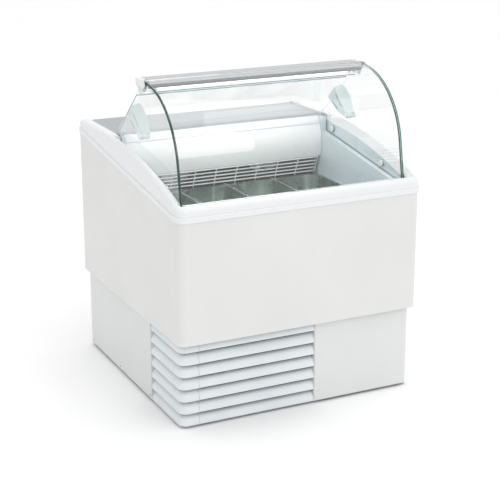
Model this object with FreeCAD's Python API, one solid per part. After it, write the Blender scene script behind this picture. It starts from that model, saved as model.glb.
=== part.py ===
"""Ventilated ice-cream scooping freezer: insulated tub with four pans, curved glass canopy, louvred plinth.

Millimetres. Origin at the centre of the footprint on the floor, +Z up, -Y towards the customer (front),
+X to the customer's right. Left and right are the customer's.
"""
import FreeCAD, Part
import math
import os

Vector = FreeCAD.Vector

# ---------------------------------------------------------------- driving dimensions
HALF_W = 470.0            # tub skin, half width
HALF_D = 475.0            # tub skin, half depth
TUB_BOTTOM = 315.0        # underside of the tub
SKIN_FRONT_TOP = 746.0    # top edge of the side skin at the front
SKIN_REAR_TOP = 868.0     # and at the rear
SKIN = 1.5                # sheet thickness
CORNER_R = 28.0           # front corners of the tub, in plan

LIP_H = 20.0              # bead round the bottom of the top frame
LIP_PROUD = 5.0
CROWN_TOP = 919.0         # highest line of the wings
CROWN_FLAT_Y = 215.0      # the wings are level behind this
CROWN_CURVE = [(20.0, 909.0), (-110.0, 892.5), (-225.0, 869.5), (-330.0, 843.0),
               (-400.0, 821.0), (-445.0, 805.0), (-485.0, 789.0)]
CROWN_X = 455.0           # the wings are highest here
WING_IN = 432.0           # inner face of the wings
WING_SLOPE = CROWN_X - WING_IN
SHOULDER_R = 14.0
SHELL = 4.0               # wall of the moulded top frame

WELL_X = 404.0            # half width of the well
WELL_FRONT = -405.0
WELL_REAR = 405.0
WELL_FLOOR = 500.0
WELL_SEAM = 752.0         # where the frame ends and the liner begins
WELL_R = 20.0
LEDGE = [(-405.0, 773.0), (106.0, 850.0), (134.0, 854.0)]   # shelf that carries the side glass
LEDGE_END = 140.0
FRONT_CREST = (-455.0, 800.5)
FRONT_INNER = (-405.0, 785.0)

WORKTOP_Z = 912.0
WORKTOP_FRONT = 174.0
WORKTOP_T = 3.0
NOSING_FOOT = (152.0, 886.0)
COVER_FOOT = (146.0, 754.0)
GRILLE_FOOT = (178.0, 673.0)
COVER_BULGE = 14.0

PLINTH_Z = 10.0
PLINTH_X = 458.0
PLINTH_FRONT = -450.0
PLINTH_REAR = 455.0
PLINTH_TOP = 313.0
LOUVRE_RIGHT = 61.0       # the louvre runs from the left corner to here along the front
LOUVRE_REAR = -182.0      # and to here along the left side
LOUVRE_JOINT = 70.0       # from the corner to the joints of the corner slats
SLATS = 7
SLAT_PITCH = 45.0

PANS = 4
PAN_PITCH = 200.0
PAN_TOP = 681.0
PAN_REAR = 164.0
PAN_LENGTH = 420.0
PAN_WIDTH = 196.0
PAN_DEPTH = 118.0
PAN_WALL = 1.0

GLASS = 6.0
GLASS_HALF_W = 434.0
GLASS_FOOT = (-417.0, 791.5)
GLASS_LEAN = 10.0         # degrees from upright at the foot
GLASS_STRAIGHT = 136.0
GLASS_R = 280.0
GLASS_TOP_LEAN = 80.0     # degrees from upright at the rail
GLASS_TOP_RUN = 56.0
SIDE_GLASS_IN = 425.0
SIDE_GLASS_OUT = 431.0
REAR_EDGE_FOOT = (178.0, 921.0)

RAIL_FRONT = -123.0
RAIL_REAR = -45.0
RAIL_BOTTOM = 1141.0
RAIL_TOP = 1163.0
RAIL_HALF = 420.0
CANOPY_PIVOT = (-83.0, 1128.0)
PIN_R = 4.0
RUNNING = 0.08            # radial clearance of a running fit

FLAP_PIVOT = (-60.0, 955.0)
FLAP_FOOT = (183.0, 918.0)
FLAP_TILT = 42.0          # degrees above level
FLAP_LENGTH = 265.0
FLAP_T = 5.0
FLAP_HALF = 421.0
FIN_IN = 397.0            # brackets that carry the flap
FIN_OUT = 421.0
FIN_SEAT = (132.0, 200.0, 216.0)     # along the flap: the seat's start, its end inside, its end outside
FIN_BACK = (10.0, 960.0)      # a corner of the bracket's lower edge
FIN_FRONT_NEAR = [(1.0, 1013.0), (-31.0, 984.0), (-66.0, 950.0), (-56.0, 943.0)]
FIN_FRONT_FAR = [(-8.0, 1051.0), (-50.0, 1021.0), (-76.0, 972.0), (-62.0, 943.0)]
FIN_SLOTS = [((22.0, 1022.0), (-26.0, 981.0)), ((50.0, 991.0), (6.0, 967.0))]
FIN_SLOT_W = 5.5
FIN_SLOT_DEPTH = 19.0
FIN_BOSS_R = 11.0

REAR_EDGE_TILT = 39.6     # degrees above level, rear edge of the side glass
APEX_R = 13.5
BOLT_R = 5.0
BOLTS = [(89.0, 872.0), (-277.0, 816.0)]
PIN_PLACES = [CANOPY_PIVOT + (PIN_R,), FLAP_PIVOT + (PIN_R,)] + [place + (BOLT_R,) for place in BOLTS]
CAP_IN = 435.0            # cheeks at the rail's ends
CAP_OUT = 440.0
CAP_R = 18.0
LAMP = (-84.0, 1130.0)
LAMP_R = 8.0
LAMP_HALF = 380.0

FRAME_T = 2.0             # base frame sheet
FRAME_BOX = (-PLINTH_X + 28, PLINTH_X - 16, PLINTH_FRONT + 28, PLINTH_REAR - 4)
FRAME_TOP = 313.5
TRAY_Z = 12.0
POST_W = 35.0
RING_W = 40.0
FEET = [(-395.0, -385.0), (405.0, -385.0), (-395.0, 405.0), (405.0, 405.0)]
PAD_R = 22.0
STEM_R = 6.0
PANEL_END = PLINTH_REAR - SKIN - 0.3
VENT_ROWS = 6
VENT_COLUMNS = 4
INLET_X = -330.0
INLET_Z = 90.0
COMPRESSOR = (230.0, 210.0)
COMPRESSOR_R = 78.0
CAN_Z = (50.0, 220.0)
COIL = (-395.0, -45.0, -385.0, -325.0, 36.0, 276.0)      # condenser: x, y and z limits
FAN_X = (COIL[0] + COIL[1]) / 2
FAN_Z = (COIL[4] + COIL[5]) / 2
FAN_HOLE_R = 108.0
FAN_Y = COIL[3] + 26.0
CONDENSER_FAN_W = 24.0
CONDENSER_FAN_R = 98.0
DRIP_TRAY = (-190.0, 110.0, 230.0, 400.0, 14.2, 54.0)
DRAIN = (0.0, 330.0)
DRAIN_R = 10.0
LINER_FLANGE = 20.0
PIPE_R = 4.0
PIPE_Z = 262.0
PIPE_BEND = 14.0
DISCHARGE = [(*COMPRESSOR, CAN_Z[1] + 0.2), (*COMPRESSOR, PIPE_Z), (230.0, -250.0, PIPE_Z),
             (60.0, -250.0, PIPE_Z), (60.0, -355.0, PIPE_Z), (COIL[1] + 0.3, -355.0, PIPE_Z)]
SUCTION = [(COMPRESSOR[0] + COMPRESSOR_R + 0.2, 210.0, 190.0), (390.0, 210.0, 190.0), (390.0, 210.0, 250.0),
           (390.0, 436.0, 250.0), (390.0, 436.0, 600.0), (360.0, 436.0, 600.0), (360.0, 394.0, 600.0)]
DRIER_Y = (-170.0, -60.0)

GRILLE_ROWS = 5
GRILLE_COLUMNS = 9
EVAPORATOR = (-372.0, 372.0, 225.0, 393.0, 566.0, 626.0)
EVAPORATOR_FAN_X = 185.0
EVAPORATOR_FAN_Z = 765.0
EVAPORATOR_FAN_Y = 206.0
EVAPORATOR_FAN_R = 66.0
DUCT_Y = -322.0
DUCT_TOP = 664.0
BAR_Y = (DUCT_Y + 2.0, 175.0)
BAR_HALF = 5.0
BAR_SEAT = 654.0          # top of the cross bars
PAN_FLANGE = 7.0
PAN_MOUTH_R = 62.0

PANEL_X = (-330.0, -190.0)     # control panel, on the server's side
PANEL_Z = (755.0, 825.0)
BUTTON_R = 6.0
BUTTON_X = [-255.0, -235.0, -215.0]
BUTTON_Z = 778.0
SWITCH = (-302.0, 790.0)
SWITCH_HALF = (9.0, 14.0)
ROCKER_AXIS_Y = HALF_D - 1.0


# ---------------------------------------------------------------- small helpers
def box(x0, x1, y0, y1, z0, z1):
    return Part.makeBox(x1 - x0, y1 - y0, z1 - z0, Vector(x0, y0, z0))


def rod(start, end, radius):
    axis = Vector(*end) - Vector(*start)
    return Part.makeCylinder(radius, axis.Length, Vector(*start), axis)


def span_box(xs, ys, zs):
    """A box from pairs of limits given in either order."""
    return box(min(xs), max(xs), min(ys), max(ys), min(zs), max(zs))


def open_box(x0, x1, y0, y1, z0, z1, wall):
    """A tray: a box open at its top."""
    return box(x0, x1, y0, y1, z0, z1).cut(box(x0 + wall, x1 - wall, y0 + wall, y1 - wall, z0 + wall, z1 + 1))


def straight_edges(corners):
    """Straight edges from each corner to the next."""
    return [Part.LineSegment(a, b).toShape() for a, b in zip(corners, corners[1:])]


def prism_x(points, x0, x1):
    """A (y, z) outline carried along X."""
    corners = [Vector(x0, y, z) for y, z in points]
    face = Part.Face(Part.makePolygon(corners + corners[:1]))
    return face.extrude(Vector(x1 - x0, 0, 0))


def prism_y(points, y0, y1):
    """An (x, z) outline carried along Y."""
    corners = [Vector(x, y0, z) for x, z in points]
    face = Part.Face(Part.makePolygon(corners + corners[:1]))
    return face.extrude(Vector(0, y1 - y0, 0))


def block(x0, x1, y0, y1, z0, z1, front_r, rear_r):
    """A box with its upright edges rounded."""
    solid = box(x0, x1, y0, y1, z0, z1)
    for radius, y in ((front_r, y0), (rear_r, y1)):
        if radius:
            upright = [e for e in solid.Edges
                       if abs(e.CenterOfMass.y - y) < 0.01 and abs(e.CenterOfMass.z - (z0 + z1) / 2) < 0.01
                       and e.Length > z1 - z0 - 0.01 and abs(e.CenterOfMass.x - (x0 + x1) / 2) > 1.0]
            solid = solid.makeFillet(radius, upright)
    return solid


def mirrored(shape):
    return shape.mirror(Vector(0, 0, 0), Vector(1, 0, 0))


def pair(shape):
    """The shape and its mirror image, as separate solids."""
    return [shape, mirrored(shape)]


def merge(shapes):
    return shapes[0].fuse(shapes[1:]).removeSplitter()


def plate_holes(solid, centres, radius, axis, depth):
    """Round holes drilled at the centres, along the axis."""
    tools = [Part.makeCylinder(radius, depth, Vector(*c), Vector(*axis)) for c in centres]
    return solid.cut(tools)


def bent_tube(points, radius, bend):
    """A round tube through the points, straight runs joined by tangent arcs."""
    places = [Vector(*p) for p in points]
    edges = []
    last = places[0]
    for before, corner, after in zip(places, places[1:], places[2:]):
        back = (before - corner).normalize()
        onward = (after - corner).normalize()
        half = math.acos(max(-1.0, min(1.0, back.dot(onward)))) / 2
        run = bend / math.tan(half)
        start = corner + back * run
        end = corner + onward * run
        centre = corner + (back + onward).normalize() * (bend / math.sin(half))
        middle = centre + (corner - centre).normalize() * bend
        edges.append(Part.LineSegment(last, start).toShape())
        edges.append(Part.Arc(start, middle, end).toShape())
        last = end
    edges.append(Part.LineSegment(last, places[-1]).toShape())
    circle = Part.Circle(places[0], places[1] - places[0], radius).toShape()
    return Part.Wire(edges).makePipeShell([Part.Wire(circle)], True, True)


def save(name, shapes):
    """Writes one sub-part; a list stays a group of separate solids."""
    shape = Part.makeCompound(shapes) if isinstance(shapes, list) else shapes
    shape.exportStep("parts/" + name + ".step")
    print(name, len(shape.Solids), "solid(s)", "valid" if shape.isValid() else "NOT VALID")


# ---------------------------------------------------------------- plinth and machine
def base_frame():
    """Folded tray, four angle posts and the ring that the tub is bolted to, welded as one."""
    left, right, front, rear = FRAME_BOX
    top = FRAME_TOP - FRAME_T
    tray = open_box(left, right, front, rear, TRAY_Z, TRAY_Z + 18, FRAME_T)
    ring = box(left, right, front, rear, top - 0.5, FRAME_TOP)
    ring = ring.cut(box(left + RING_W, right - RING_W, front + RING_W, rear - RING_W, 0, PLINTH_TOP + 5))
    posts = []
    for x, x_in in ((left, 1), (right, -1)):
        for y, y_in in ((front, 1), (rear, -1)):
            flange_x = span_box((x, x + x_in * FRAME_T), (y, y + y_in * POST_W), (TRAY_Z + 1, top))
            flange_y = span_box((x, x + x_in * POST_W), (y, y + y_in * FRAME_T), (TRAY_Z + 1, top))
            posts.append(merge([flange_x, flange_y]))
    frame = merge([tray, ring] + posts)
    frame = plate_holes(frame, [(x, y, 0) for x, y in FEET], STEM_R + 0.5, (0, 0, 1), 20)
    return plate_holes(frame, [(*SUCTION[4][:2], 300)], PIPE_R + 2, (0, 0, 1), 30)


def levelling_feet():
    feet = []
    for x, y in FEET:
        pad = Part.makeCone(PAD_R, PAD_R - 4, 7, Vector(x, y, 0), Vector(0, 0, 1))
        stem = rod((x, y, 2), (x, y, 36), STEM_R)
        nut = rod((x, y, 7), (x, y, TRAY_Z - 0.2), STEM_R + 4)
        feet.append(merge([pad, stem, nut]))
    return feet


def folded_panel_x(x, y0, y1, inward, fold=14.0):
    """A side panel in the YZ plane with both upright edges folded inwards."""
    x0, x1 = sorted((x, x + inward * SKIN))
    f0, f1 = sorted((x, x + inward * fold))
    plate = box(x0, x1, y0, y1, PLINTH_Z, PLINTH_TOP)
    folds = [box(f0, f1, y, y + SKIN, PLINTH_Z, PLINTH_TOP) for y in (y0, y1 - SKIN)]
    return merge([plate] + folds)


def panel_left_rear():
    return folded_panel_x(-PLINTH_X, LOUVRE_REAR + 1, PANEL_END, 1)


def panel_right():
    """Right side panel, carried round the front corner's radius."""
    return folded_panel_x(PLINTH_X, PLINTH_FRONT + CORNER_R + 1, PANEL_END, -1)


def panel_front_right():
    """Plain front panel, turned round the front right corner."""
    reach = PLINTH_FRONT + 200
    outer = block(-PLINTH_X, PLINTH_X, PLINTH_FRONT, reach, PLINTH_Z, PLINTH_TOP, CORNER_R, 0)
    inner = block(-PLINTH_X + SKIN, PLINTH_X - SKIN, PLINTH_FRONT + SKIN, reach + 10, 0, PLINTH_TOP + 5,
                  CORNER_R - SKIN, 0)
    left = LOUVRE_RIGHT + 1
    kept = box(left, HALF_W, -HALF_D, PLINTH_FRONT + CORNER_R, 0, PLINTH_TOP + 5)
    fold = box(left, left + SKIN, PLINTH_FRONT, PLINTH_FRONT + 14, PLINTH_Z, PLINTH_TOP)
    return merge([outer.cut(inner).common(kept), fold])


def panel_rear():
    """Rear machine panel with rows of vent slots and the hole for the power inlet."""
    x = PLINTH_X - SKIN - 0.5
    panel = box(-x, x, PLINTH_REAR - SKIN, PLINTH_REAR, PLINTH_Z, PLINTH_TOP)
    slots = []
    for row in range(VENT_ROWS):
        for column in range(VENT_COLUMNS):
            left = -170.0 + column * 130.0
            low = 110.0 + row * 26.0
            slots.append(box(left, left + 105, PLINTH_REAR - 10, PLINTH_REAR + 10, low, low + 8))
    hole = box(INLET_X - 14, INLET_X + 14, PLINTH_REAR - 10, PLINTH_REAR + 10, INLET_Z - 10, INLET_Z + 10)
    return panel.cut(slots + [hole])


def power_inlet():
    """Appliance inlet: flange outside the panel, shrouded body inside it, three blades."""
    def about_inlet(half_x, half_z, y0, y1, dx=0.0):
        return box(INLET_X + dx - half_x, INLET_X + dx + half_x, PLINTH_REAR + y0, PLINTH_REAR + y1,
                   INLET_Z - half_z, INLET_Z + half_z)
    flange = about_inlet(25, 15, 0, 3)
    body = about_inlet(13.5, 9.5, -30, 1)
    well = about_inlet(11.5, 7.5, -18, 5)
    blades = [about_inlet(1, 2.5, -20, -3, dx) for dx in (-7, 0, 7)]
    return merge([merge([flange, body]).cut(well)] + blades)


def slat_face(place):
    """Section of one slat; place(t, z) puts a point t outwards from the louvre's face and z up."""
    lip_in = place(-7, 1)
    lip = place(0, 1)
    foot = place(0, 4)
    head = place(-21, 36)
    head_in = place(-23, 36)
    foot_in = place(-2, 4)
    step = place(-2, 3)
    step_in = place(-7, 3)
    edges = straight_edges([lip_in, lip, foot]) + [Part.Arc(foot, place(-5.5, 21), head).toShape()]
    edges += straight_edges([head, head_in]) + [Part.Arc(head_in, place(-7.5, 21), foot_in).toShape()]
    edges += straight_edges([foot_in, step, step_in, lip_in])
    return Part.Face(Part.Wire(edges))


def repeated_slats(one):
    """The slat repeated up the louvre; the top one is trimmed under the tub."""
    room = box(-600, 600, -600, 600, 0, PLINTH_TOP)
    copies = []
    for i in range(SLATS):
        copy = one.copy()
        copy.translate(Vector(0, 0, PLINTH_Z + i * SLAT_PITCH))
        copies.append(copy if i < SLATS - 1 else copy.common(room))
    return copies


def louvre_front_slats():
    x0 = -PLINTH_X + LOUVRE_JOINT + 0.5
    face = slat_face(lambda t, z: Vector(x0, PLINTH_FRONT - t, z))
    return repeated_slats(face.extrude(Vector(LOUVRE_RIGHT - 2 - x0, 0, 0)))


def louvre_side_slats():
    y0 = PLINTH_FRONT + LOUVRE_JOINT + 0.5
    face = slat_face(lambda t, z: Vector(-PLINTH_X - t, y0, z))
    return repeated_slats(face.extrude(Vector(0, LOUVRE_REAR - 2 - y0, 0)))


def louvre_corner_slats():
    """Corner slats: straight, a quarter turn, straight."""
    cx = -PLINTH_X + CORNER_R
    cy = PLINTH_FRONT + CORNER_R
    reach = LOUVRE_JOINT - CORNER_R - 0.5
    front = slat_face(lambda t, z: Vector(cx, PLINTH_FRONT - t, z))
    side = slat_face(lambda t, z: Vector(-PLINTH_X - t, cy, z))
    turn = front.revolve(Vector(cx, cy, 0), Vector(0, 0, 1), -90)
    one = merge([front.extrude(Vector(reach, 0, 0)), turn, side.extrude(Vector(0, reach, 0))])
    return repeated_slats(one)


def louvre_brackets():
    """Upright angles that the slat ends are screwed to, at both ends of the louvre."""
    width = 40.0
    near = 1.0
    far = near + 26.0
    heights = (PLINTH_Z, PLINTH_TOP)
    front = (PLINTH_FRONT + near, PLINTH_FRONT + far)
    left = (-PLINTH_X + near, -PLINTH_X + far)
    right = merge([span_box((LOUVRE_RIGHT - SKIN, LOUVRE_RIGHT), front, heights),
                   span_box((LOUVRE_RIGHT - width, LOUVRE_RIGHT), (front[1] - SKIN, front[1]), heights)])
    rear = merge([span_box(left, (LOUVRE_REAR - SKIN, LOUVRE_REAR), heights),
                  span_box((left[1] - SKIN, left[1]), (LOUVRE_REAR - width, LOUVRE_REAR), heights)])
    return [right, rear]


def compressor():
    """Hermetic can with domed ends on a footed base plate."""
    x, y = COMPRESSOR
    can = rod((x, y, CAN_Z[0]), (x, y, CAN_Z[1]), COMPRESSOR_R)
    ends = [e for e in can.Edges if e.Curve.TypeId == "Part::GeomCircle"]
    can = can.makeFillet(38, ends)
    band = Part.makeCylinder(COMPRESSOR_R + 4, 5, Vector(x, y, 138), Vector(0, 0, 1))
    plate = box(x - 95, x + 95, y - 60, y + 60, 34, 38)
    web = Part.makeCylinder(45, 25, Vector(x, y, 36), Vector(0, 0, 1))
    feet = [Part.makeCylinder(13, 20, Vector(x + dx, y + dy, 14.2), Vector(0, 0, 1))
            for dx in (-80, 80) for dy in (-45, 45)]
    return merge([can, band, plate, web] + feet)


def terminal_cover():
    x, y = COMPRESSOR
    start = x - COMPRESSOR_R - 34
    lid = box(start, start + 33, y - 32, y + 32, 78, 132)
    return lid.makeFillet(5, [e for e in lid.Edges if e.CenterOfMass.x < start + 1])


def finned_block(x0, x1, y0, y1, z0, z1, pitch, gap, depth):
    """Fin-and-tube coil: end plates, and fins parted by grooves cut from both faces."""
    body = box(x0, x1, y0, y1, z0, z1)
    count = int((x1 - x0 - 8) / pitch)
    grooves = []
    for i in range(count):
        left = x0 + 4 + i * pitch
        grooves.append(box(left, left + gap, y0 - 1, y0 + depth, z0 + 4, z1 - 4))
        grooves.append(box(left, left + gap, y1 - depth, y1 + 1, z0 + 4, z1 - 4))
    return body.cut(grooves)


def condenser_coil():
    return finned_block(*COIL, 10.0, 7.0, 26.0)


def fan_shroud():
    """Sheet hood behind the condenser with a flanged air opening; stands on the tray."""
    x0, x1, y0, y1, z0, z1 = COIL
    hood = box(x0 - 2, x1 + 2, y1 + 0.5, FAN_Y, 14.2, z1 + 2)
    hood = hood.cut(box(x0, x1, y1 - 1, FAN_Y - 1.5, 30, z1))
    ring = Part.makeCylinder(FAN_HOLE_R + 2, 12, Vector(FAN_X, FAN_Y - 1, FAN_Z), Vector(0, 1, 0))
    hole = Part.makeCylinder(FAN_HOLE_R, 40, Vector(FAN_X, FAN_Y - 10, FAN_Z), Vector(0, 1, 0))
    return merge([hood, ring]).cut(hole)


def fan_wheel(cx, cy, cz, hub_r, tip_r, width, blades):
    """Hub bored for the motor shaft, with pitched blades."""
    hub = Part.makeCylinder(hub_r, width, Vector(cx, cy, cz), Vector(0, 1, 0))
    bore = Part.makeCylinder(PIN_R + RUNNING, width * 3, Vector(cx, cy - width, cz), Vector(0, 1, 0))
    solids = [hub]
    for i in range(blades):
        blade = Part.makeBox(tip_r * 0.62, 1.6, tip_r - hub_r * 0.7,
                             Vector(cx - tip_r * 0.31, cy + width / 2 - 0.8, cz + hub_r * 0.7))
        blade = blade.common(Part.makeCylinder(tip_r, width * 4, Vector(cx, cy - width, cz), Vector(0, 1, 0)))
        blade.rotate(Vector(cx, cy + width / 2, cz), Vector(0, 0, 1), 24)
        blade.rotate(Vector(cx, cy, cz), Vector(0, 1, 0), i * 360.0 / blades)
        solids.append(blade)
    return merge(solids).cut(bore)


def condenser_fan():
    return fan_wheel(FAN_X, FAN_Y + 14, FAN_Z, 27, CONDENSER_FAN_R, CONDENSER_FAN_W, 5)


def condenser_fan_motor():
    """Shaded-pole motor on a bracket that stands on the tray; its shaft carries the fan."""
    back = FAN_Y + 14 + CONDENSER_FAN_W + 14
    can = Part.makeCylinder(38, 62, Vector(FAN_X, back, FAN_Z), Vector(0, 1, 0))
    can = can.makeFillet(6, [e for e in can.Edges if e.Curve.TypeId == "Part::GeomCircle"])
    shaft = rod((FAN_X, FAN_Y + 12, FAN_Z), (FAN_X, back + 10, FAN_Z), PIN_R)
    leg = box(FAN_X - 30, FAN_X + 30, back + 20, back + 24, 14.2, FAN_Z)
    foot = box(FAN_X - 30, FAN_X + 30, back + 20, back + 60, 14.2, 17)
    return merge([can, shaft, leg, foot])


def drip_tray():
    """Defrost-water tray beside the compressor, under the drain."""
    return open_box(*DRIP_TRAY, 2.0)


def drain_pipe():
    """Funnel in the well's floor and a straight pipe down through the insulation."""
    low = 80.0
    cup = rod((*DRAIN, WELL_FLOOR + 0.2), (*DRAIN, WELL_FLOOR + 2.2), 2 * DRAIN_R)
    pipe = rod((*DRAIN, low), (*DRAIN, WELL_FLOOR + 1), DRAIN_R)
    bore = rod((*DRAIN, low - 10), (*DRAIN, WELL_FLOOR + 10), DRAIN_R - 2)
    return merge([cup, pipe]).cut(bore)


def refrigerant_pipes():
    """Discharge and suction lines, and the filter drier clamped round the discharge line."""
    discharge = bent_tube(DISCHARGE, PIPE_R, PIPE_BEND)
    drier = rod((COMPRESSOR[0], DRIER_Y[0], PIPE_Z), (COMPRESSOR[0], DRIER_Y[1], PIPE_Z), 12)
    drier = drier.makeFillet(5, [e for e in drier.Edges if e.Curve.TypeId == "Part::GeomCircle"])
    suction = bent_tube(SUCTION, PIPE_R, PIPE_BEND)
    return [merge([discharge, drier]), suction]


# ---------------------------------------------------------------- tub
def skin_line(y, rise=0.0):
    """Height of the side skin's top edge at depth y."""
    slope = (SKIN_REAR_TOP - SKIN_FRONT_TOP) / (2 * HALF_D)
    return SKIN_FRONT_TOP + (y + HALF_D) * slope + rise


def above_skin_line(rise, x0=-600.0, x1=600.0):
    """Everything above the side skin's top edge."""
    reach = 600.0
    return prism_x([(-reach, skin_line(-reach, rise)), (reach, skin_line(reach, rise)),
                    (reach, 1400), (-reach, 1400)], x0, x1)


def outer_skin():
    """Front and both sides, folded from one sheet, with rounded front corners."""
    outer = block(-HALF_W, HALF_W, -HALF_D, HALF_D - SKIN - 0.3, TUB_BOTTOM, 900, CORNER_R, 0)
    inner = block(-HALF_W + SKIN, HALF_W - SKIN, -HALF_D + SKIN, HALF_D + 5, TUB_BOTTOM - 5, 905,
                  CORNER_R - SKIN, 0)
    return outer.cut(inner).cut(above_skin_line(-0.3))


def rear_skin():
    skin = box(-HALF_W, HALF_W, HALF_D - SKIN, HALF_D, TUB_BOTTOM, skin_line(HALF_D) - 0.6)
    cutout = box(PANEL_X[0] + 6, PANEL_X[1] - 6, 460, 480, PANEL_Z[0] + 6, PANEL_Z[1] - 6)
    return skin.cut(cutout)


def bottom_skin():
    plate = block(-HALF_W + SKIN + 0.2, HALF_W - SKIN - 0.2, -HALF_D + SKIN + 0.2, HALF_D - SKIN - 0.2,
                  TUB_BOTTOM, TUB_BOTTOM + SKIN, CORNER_R - SKIN, 0)
    holes = [(DRAIN[0], DRAIN[1], 300), (SUCTION[4][0], SUCTION[4][1], 300)]
    return plate_holes(plate, holes, 10.6, (0, 0, 1), 30)


def face_over_crown(x, drop):
    """Upright face at x, from the wings' curved top line lowered by drop up past the object."""
    edges, first, last = crown_edges(x, drop)
    high = 1300.0
    corners = [last, Vector(x, last.y, high), Vector(x, first.y, high), first]
    return Part.Face(Part.Wire(edges + straight_edges(corners)))


def region_over_crown(x0, x1, drop=0.0):
    """Everything above the wings' curved top line, lowered by drop."""
    return face_over_crown(x0, drop).extrude(Vector(x1 - x0, 0, 0))


def crown_edges(x, drop):
    """The wings' top line, level at the rear and falling in a smooth curve to the front."""
    rear = Vector(x, 500, CROWN_TOP - drop)
    knee = Vector(x, CROWN_FLAT_Y, CROWN_TOP - drop)
    points = [knee] + [Vector(x, y, z - drop) for y, z in CROWN_CURVE]
    curve = Part.BSplineCurve()
    curve.interpolate(Points=points, InitialTangent=Vector(0, -150, 0), FinalTangent=Vector(0, -40, -17))
    return [Part.LineSegment(rear, knee).toShape(), curve.toShape()], rear, points[-1]


def top_frame_outside():
    """Outer form of the moulded frame: rounded shoulders over a bead."""
    form = block(-HALF_W - 1, HALF_W + 1, -HALF_D - 1, HALF_D + 1, 740, 930, CORNER_R + 2, 6)
    form = form.cut(region_over_crown(-600, 600))
    form = form.common(above_skin_line(0))
    top = [e for e in form.Edges if is_shoulder(e)]
    form = form.makeFillet(SHOULDER_R, top)
    bead = block(-HALF_W - LIP_PROUD, HALF_W + LIP_PROUD, -HALF_D - LIP_PROUD, HALF_D + LIP_PROUD,
                 700, 950, CORNER_R + LIP_PROUD, 8)
    bead = bead.common(above_skin_line(0)).cut(above_skin_line(LIP_H))
    rims = [e for e in bead.Edges if not is_upright(e)]
    bead = bead.makeFillet(3.5, rims)
    return merge([form, bead])


def is_upright(edge):
    ends = [v.Point for v in edge.Vertexes]
    if len(ends) < 2:
        return False
    run = ends[1] - ends[0]
    return math.hypot(run.x, run.y) < 0.01


def is_shoulder(edge):
    """An outer top edge of the frame's form, from its height over the skin line."""
    centre = edge.CenterOfMass
    outermost = max(abs(centre.x) / (HALF_W + 1), abs(centre.y) / (HALF_D + 1)) > 0.97
    high = centre.z > skin_line(centre.y, LIP_H + 4) and edge.BoundBox.ZMin > WELL_SEAM + 18
    return outermost and high and not is_upright(edge)


def glass_pocket():
    """Room above the ledges, between the wings."""
    return prism_x(LEDGE + [(LEDGE_END, LEDGE[-1][1]), (LEDGE_END, 1300), (-405, 1300)], -WING_IN, WING_IN)


def top_frame():
    """One moulding: wings, front rim, ledges, inner walls and rear rail, hollow from below."""
    frame = top_frame_outside()
    slope = face_over_crown(CROWN_X, 0.0).extrude(Vector(-WING_SLOPE, 0, -WING_SLOPE))
    slope = slope.common(box(0, 600, FRONT_CREST[0], LEDGE_END, 700, 1400))
    crest = prism_x([FRONT_CREST, FRONT_INNER, (-396, FRONT_INNER[1]), (-396, 1300), (FRONT_CREST[0], 1300)],
                    -GLASS_HALF_W - 4, GLASS_HALF_W + 4)
    recess = box(-WING_IN - 4, WING_IN + 4, LEDGE_END, 500, WORKTOP_Z - WORKTOP_T, 1300)
    frame = frame.cut([slope, mirrored(slope), glass_pocket(), crest, recess])
    well = well_wall(0.0, 700, 1300)
    under_ledge = LEDGE[0][1] - 1
    under_top = WORKTOP_Z - WORKTOP_T - 1
    apron = well_wall(SHELL, WELL_SEAM, under_ledge)
    ledge_limit = prism_x([(-500, under_ledge - 1), (WELL_FRONT, under_ledge - 1)]
                          + [(y, z - 1) for y, z in LEDGE[1:]]
                          + [(LEDGE_END, LEDGE[-1][1]), (LEDGE_END, under_top), (500, under_top),
                             (500, WELL_SEAM - 10), (-500, WELL_SEAM - 10)], -500, 500)
    high_apron = well_wall(SHELL, WELL_SEAM, under_top).common(ledge_limit)
    return merge([frame.cut(cores(0.0)), high_apron, apron]).cut(well)


def well_wall(outset, z0, z1):
    """The well's plan, set outwards, between two heights."""
    return block(-WELL_X - outset, WELL_X + outset, WELL_FRONT - outset, WELL_REAR + outset, z0, z1,
                 WELL_R + outset, WELL_R + outset)


def cores(gap):
    """The hollows under the frame, filled by the tub's foam; gap keeps the foam clear of the walls."""
    low = 730.0
    wall = SHELL + gap
    under_top = WORKTOP_Z - WORKTOP_T - wall
    solids = []
    for side in (1, -1):
        inner = side * (WELL_X + wall)
        outer = side * (HALF_W + 1 - wall)
        x0, x1 = sorted((inner, outer))
        profile = [(y, z - wall) for y, z in LEDGE]
        profile += [(LEDGE_END + wall, LEDGE[-1][1] - wall), (LEDGE_END + wall, under_top),
                    (HALF_D - wall, under_top), (HALF_D - wall, low), (WELL_FRONT, low)]
        solids.append(prism_x(profile, x0, x1))
        xi, xo = sorted((side * (WING_IN + 9 + gap), side * (HALF_W + 1 - 9 - gap)))
        high = box(xi, xo, WELL_FRONT + 10, HALF_D - 12, low, 1000)
        solids.append(high.cut(region_over_crown(-600, 600, 26 + gap)))
    front = block(-HALF_W + wall, HALF_W - wall, -HALF_D + wall, WELL_FRONT - wall, low, 779 - gap, 22, 0)
    rear = box(-HALF_W + wall, HALF_W - wall, WELL_REAR + wall, HALF_D - wall, low, under_top)
    return solids + [front, rear]


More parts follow.
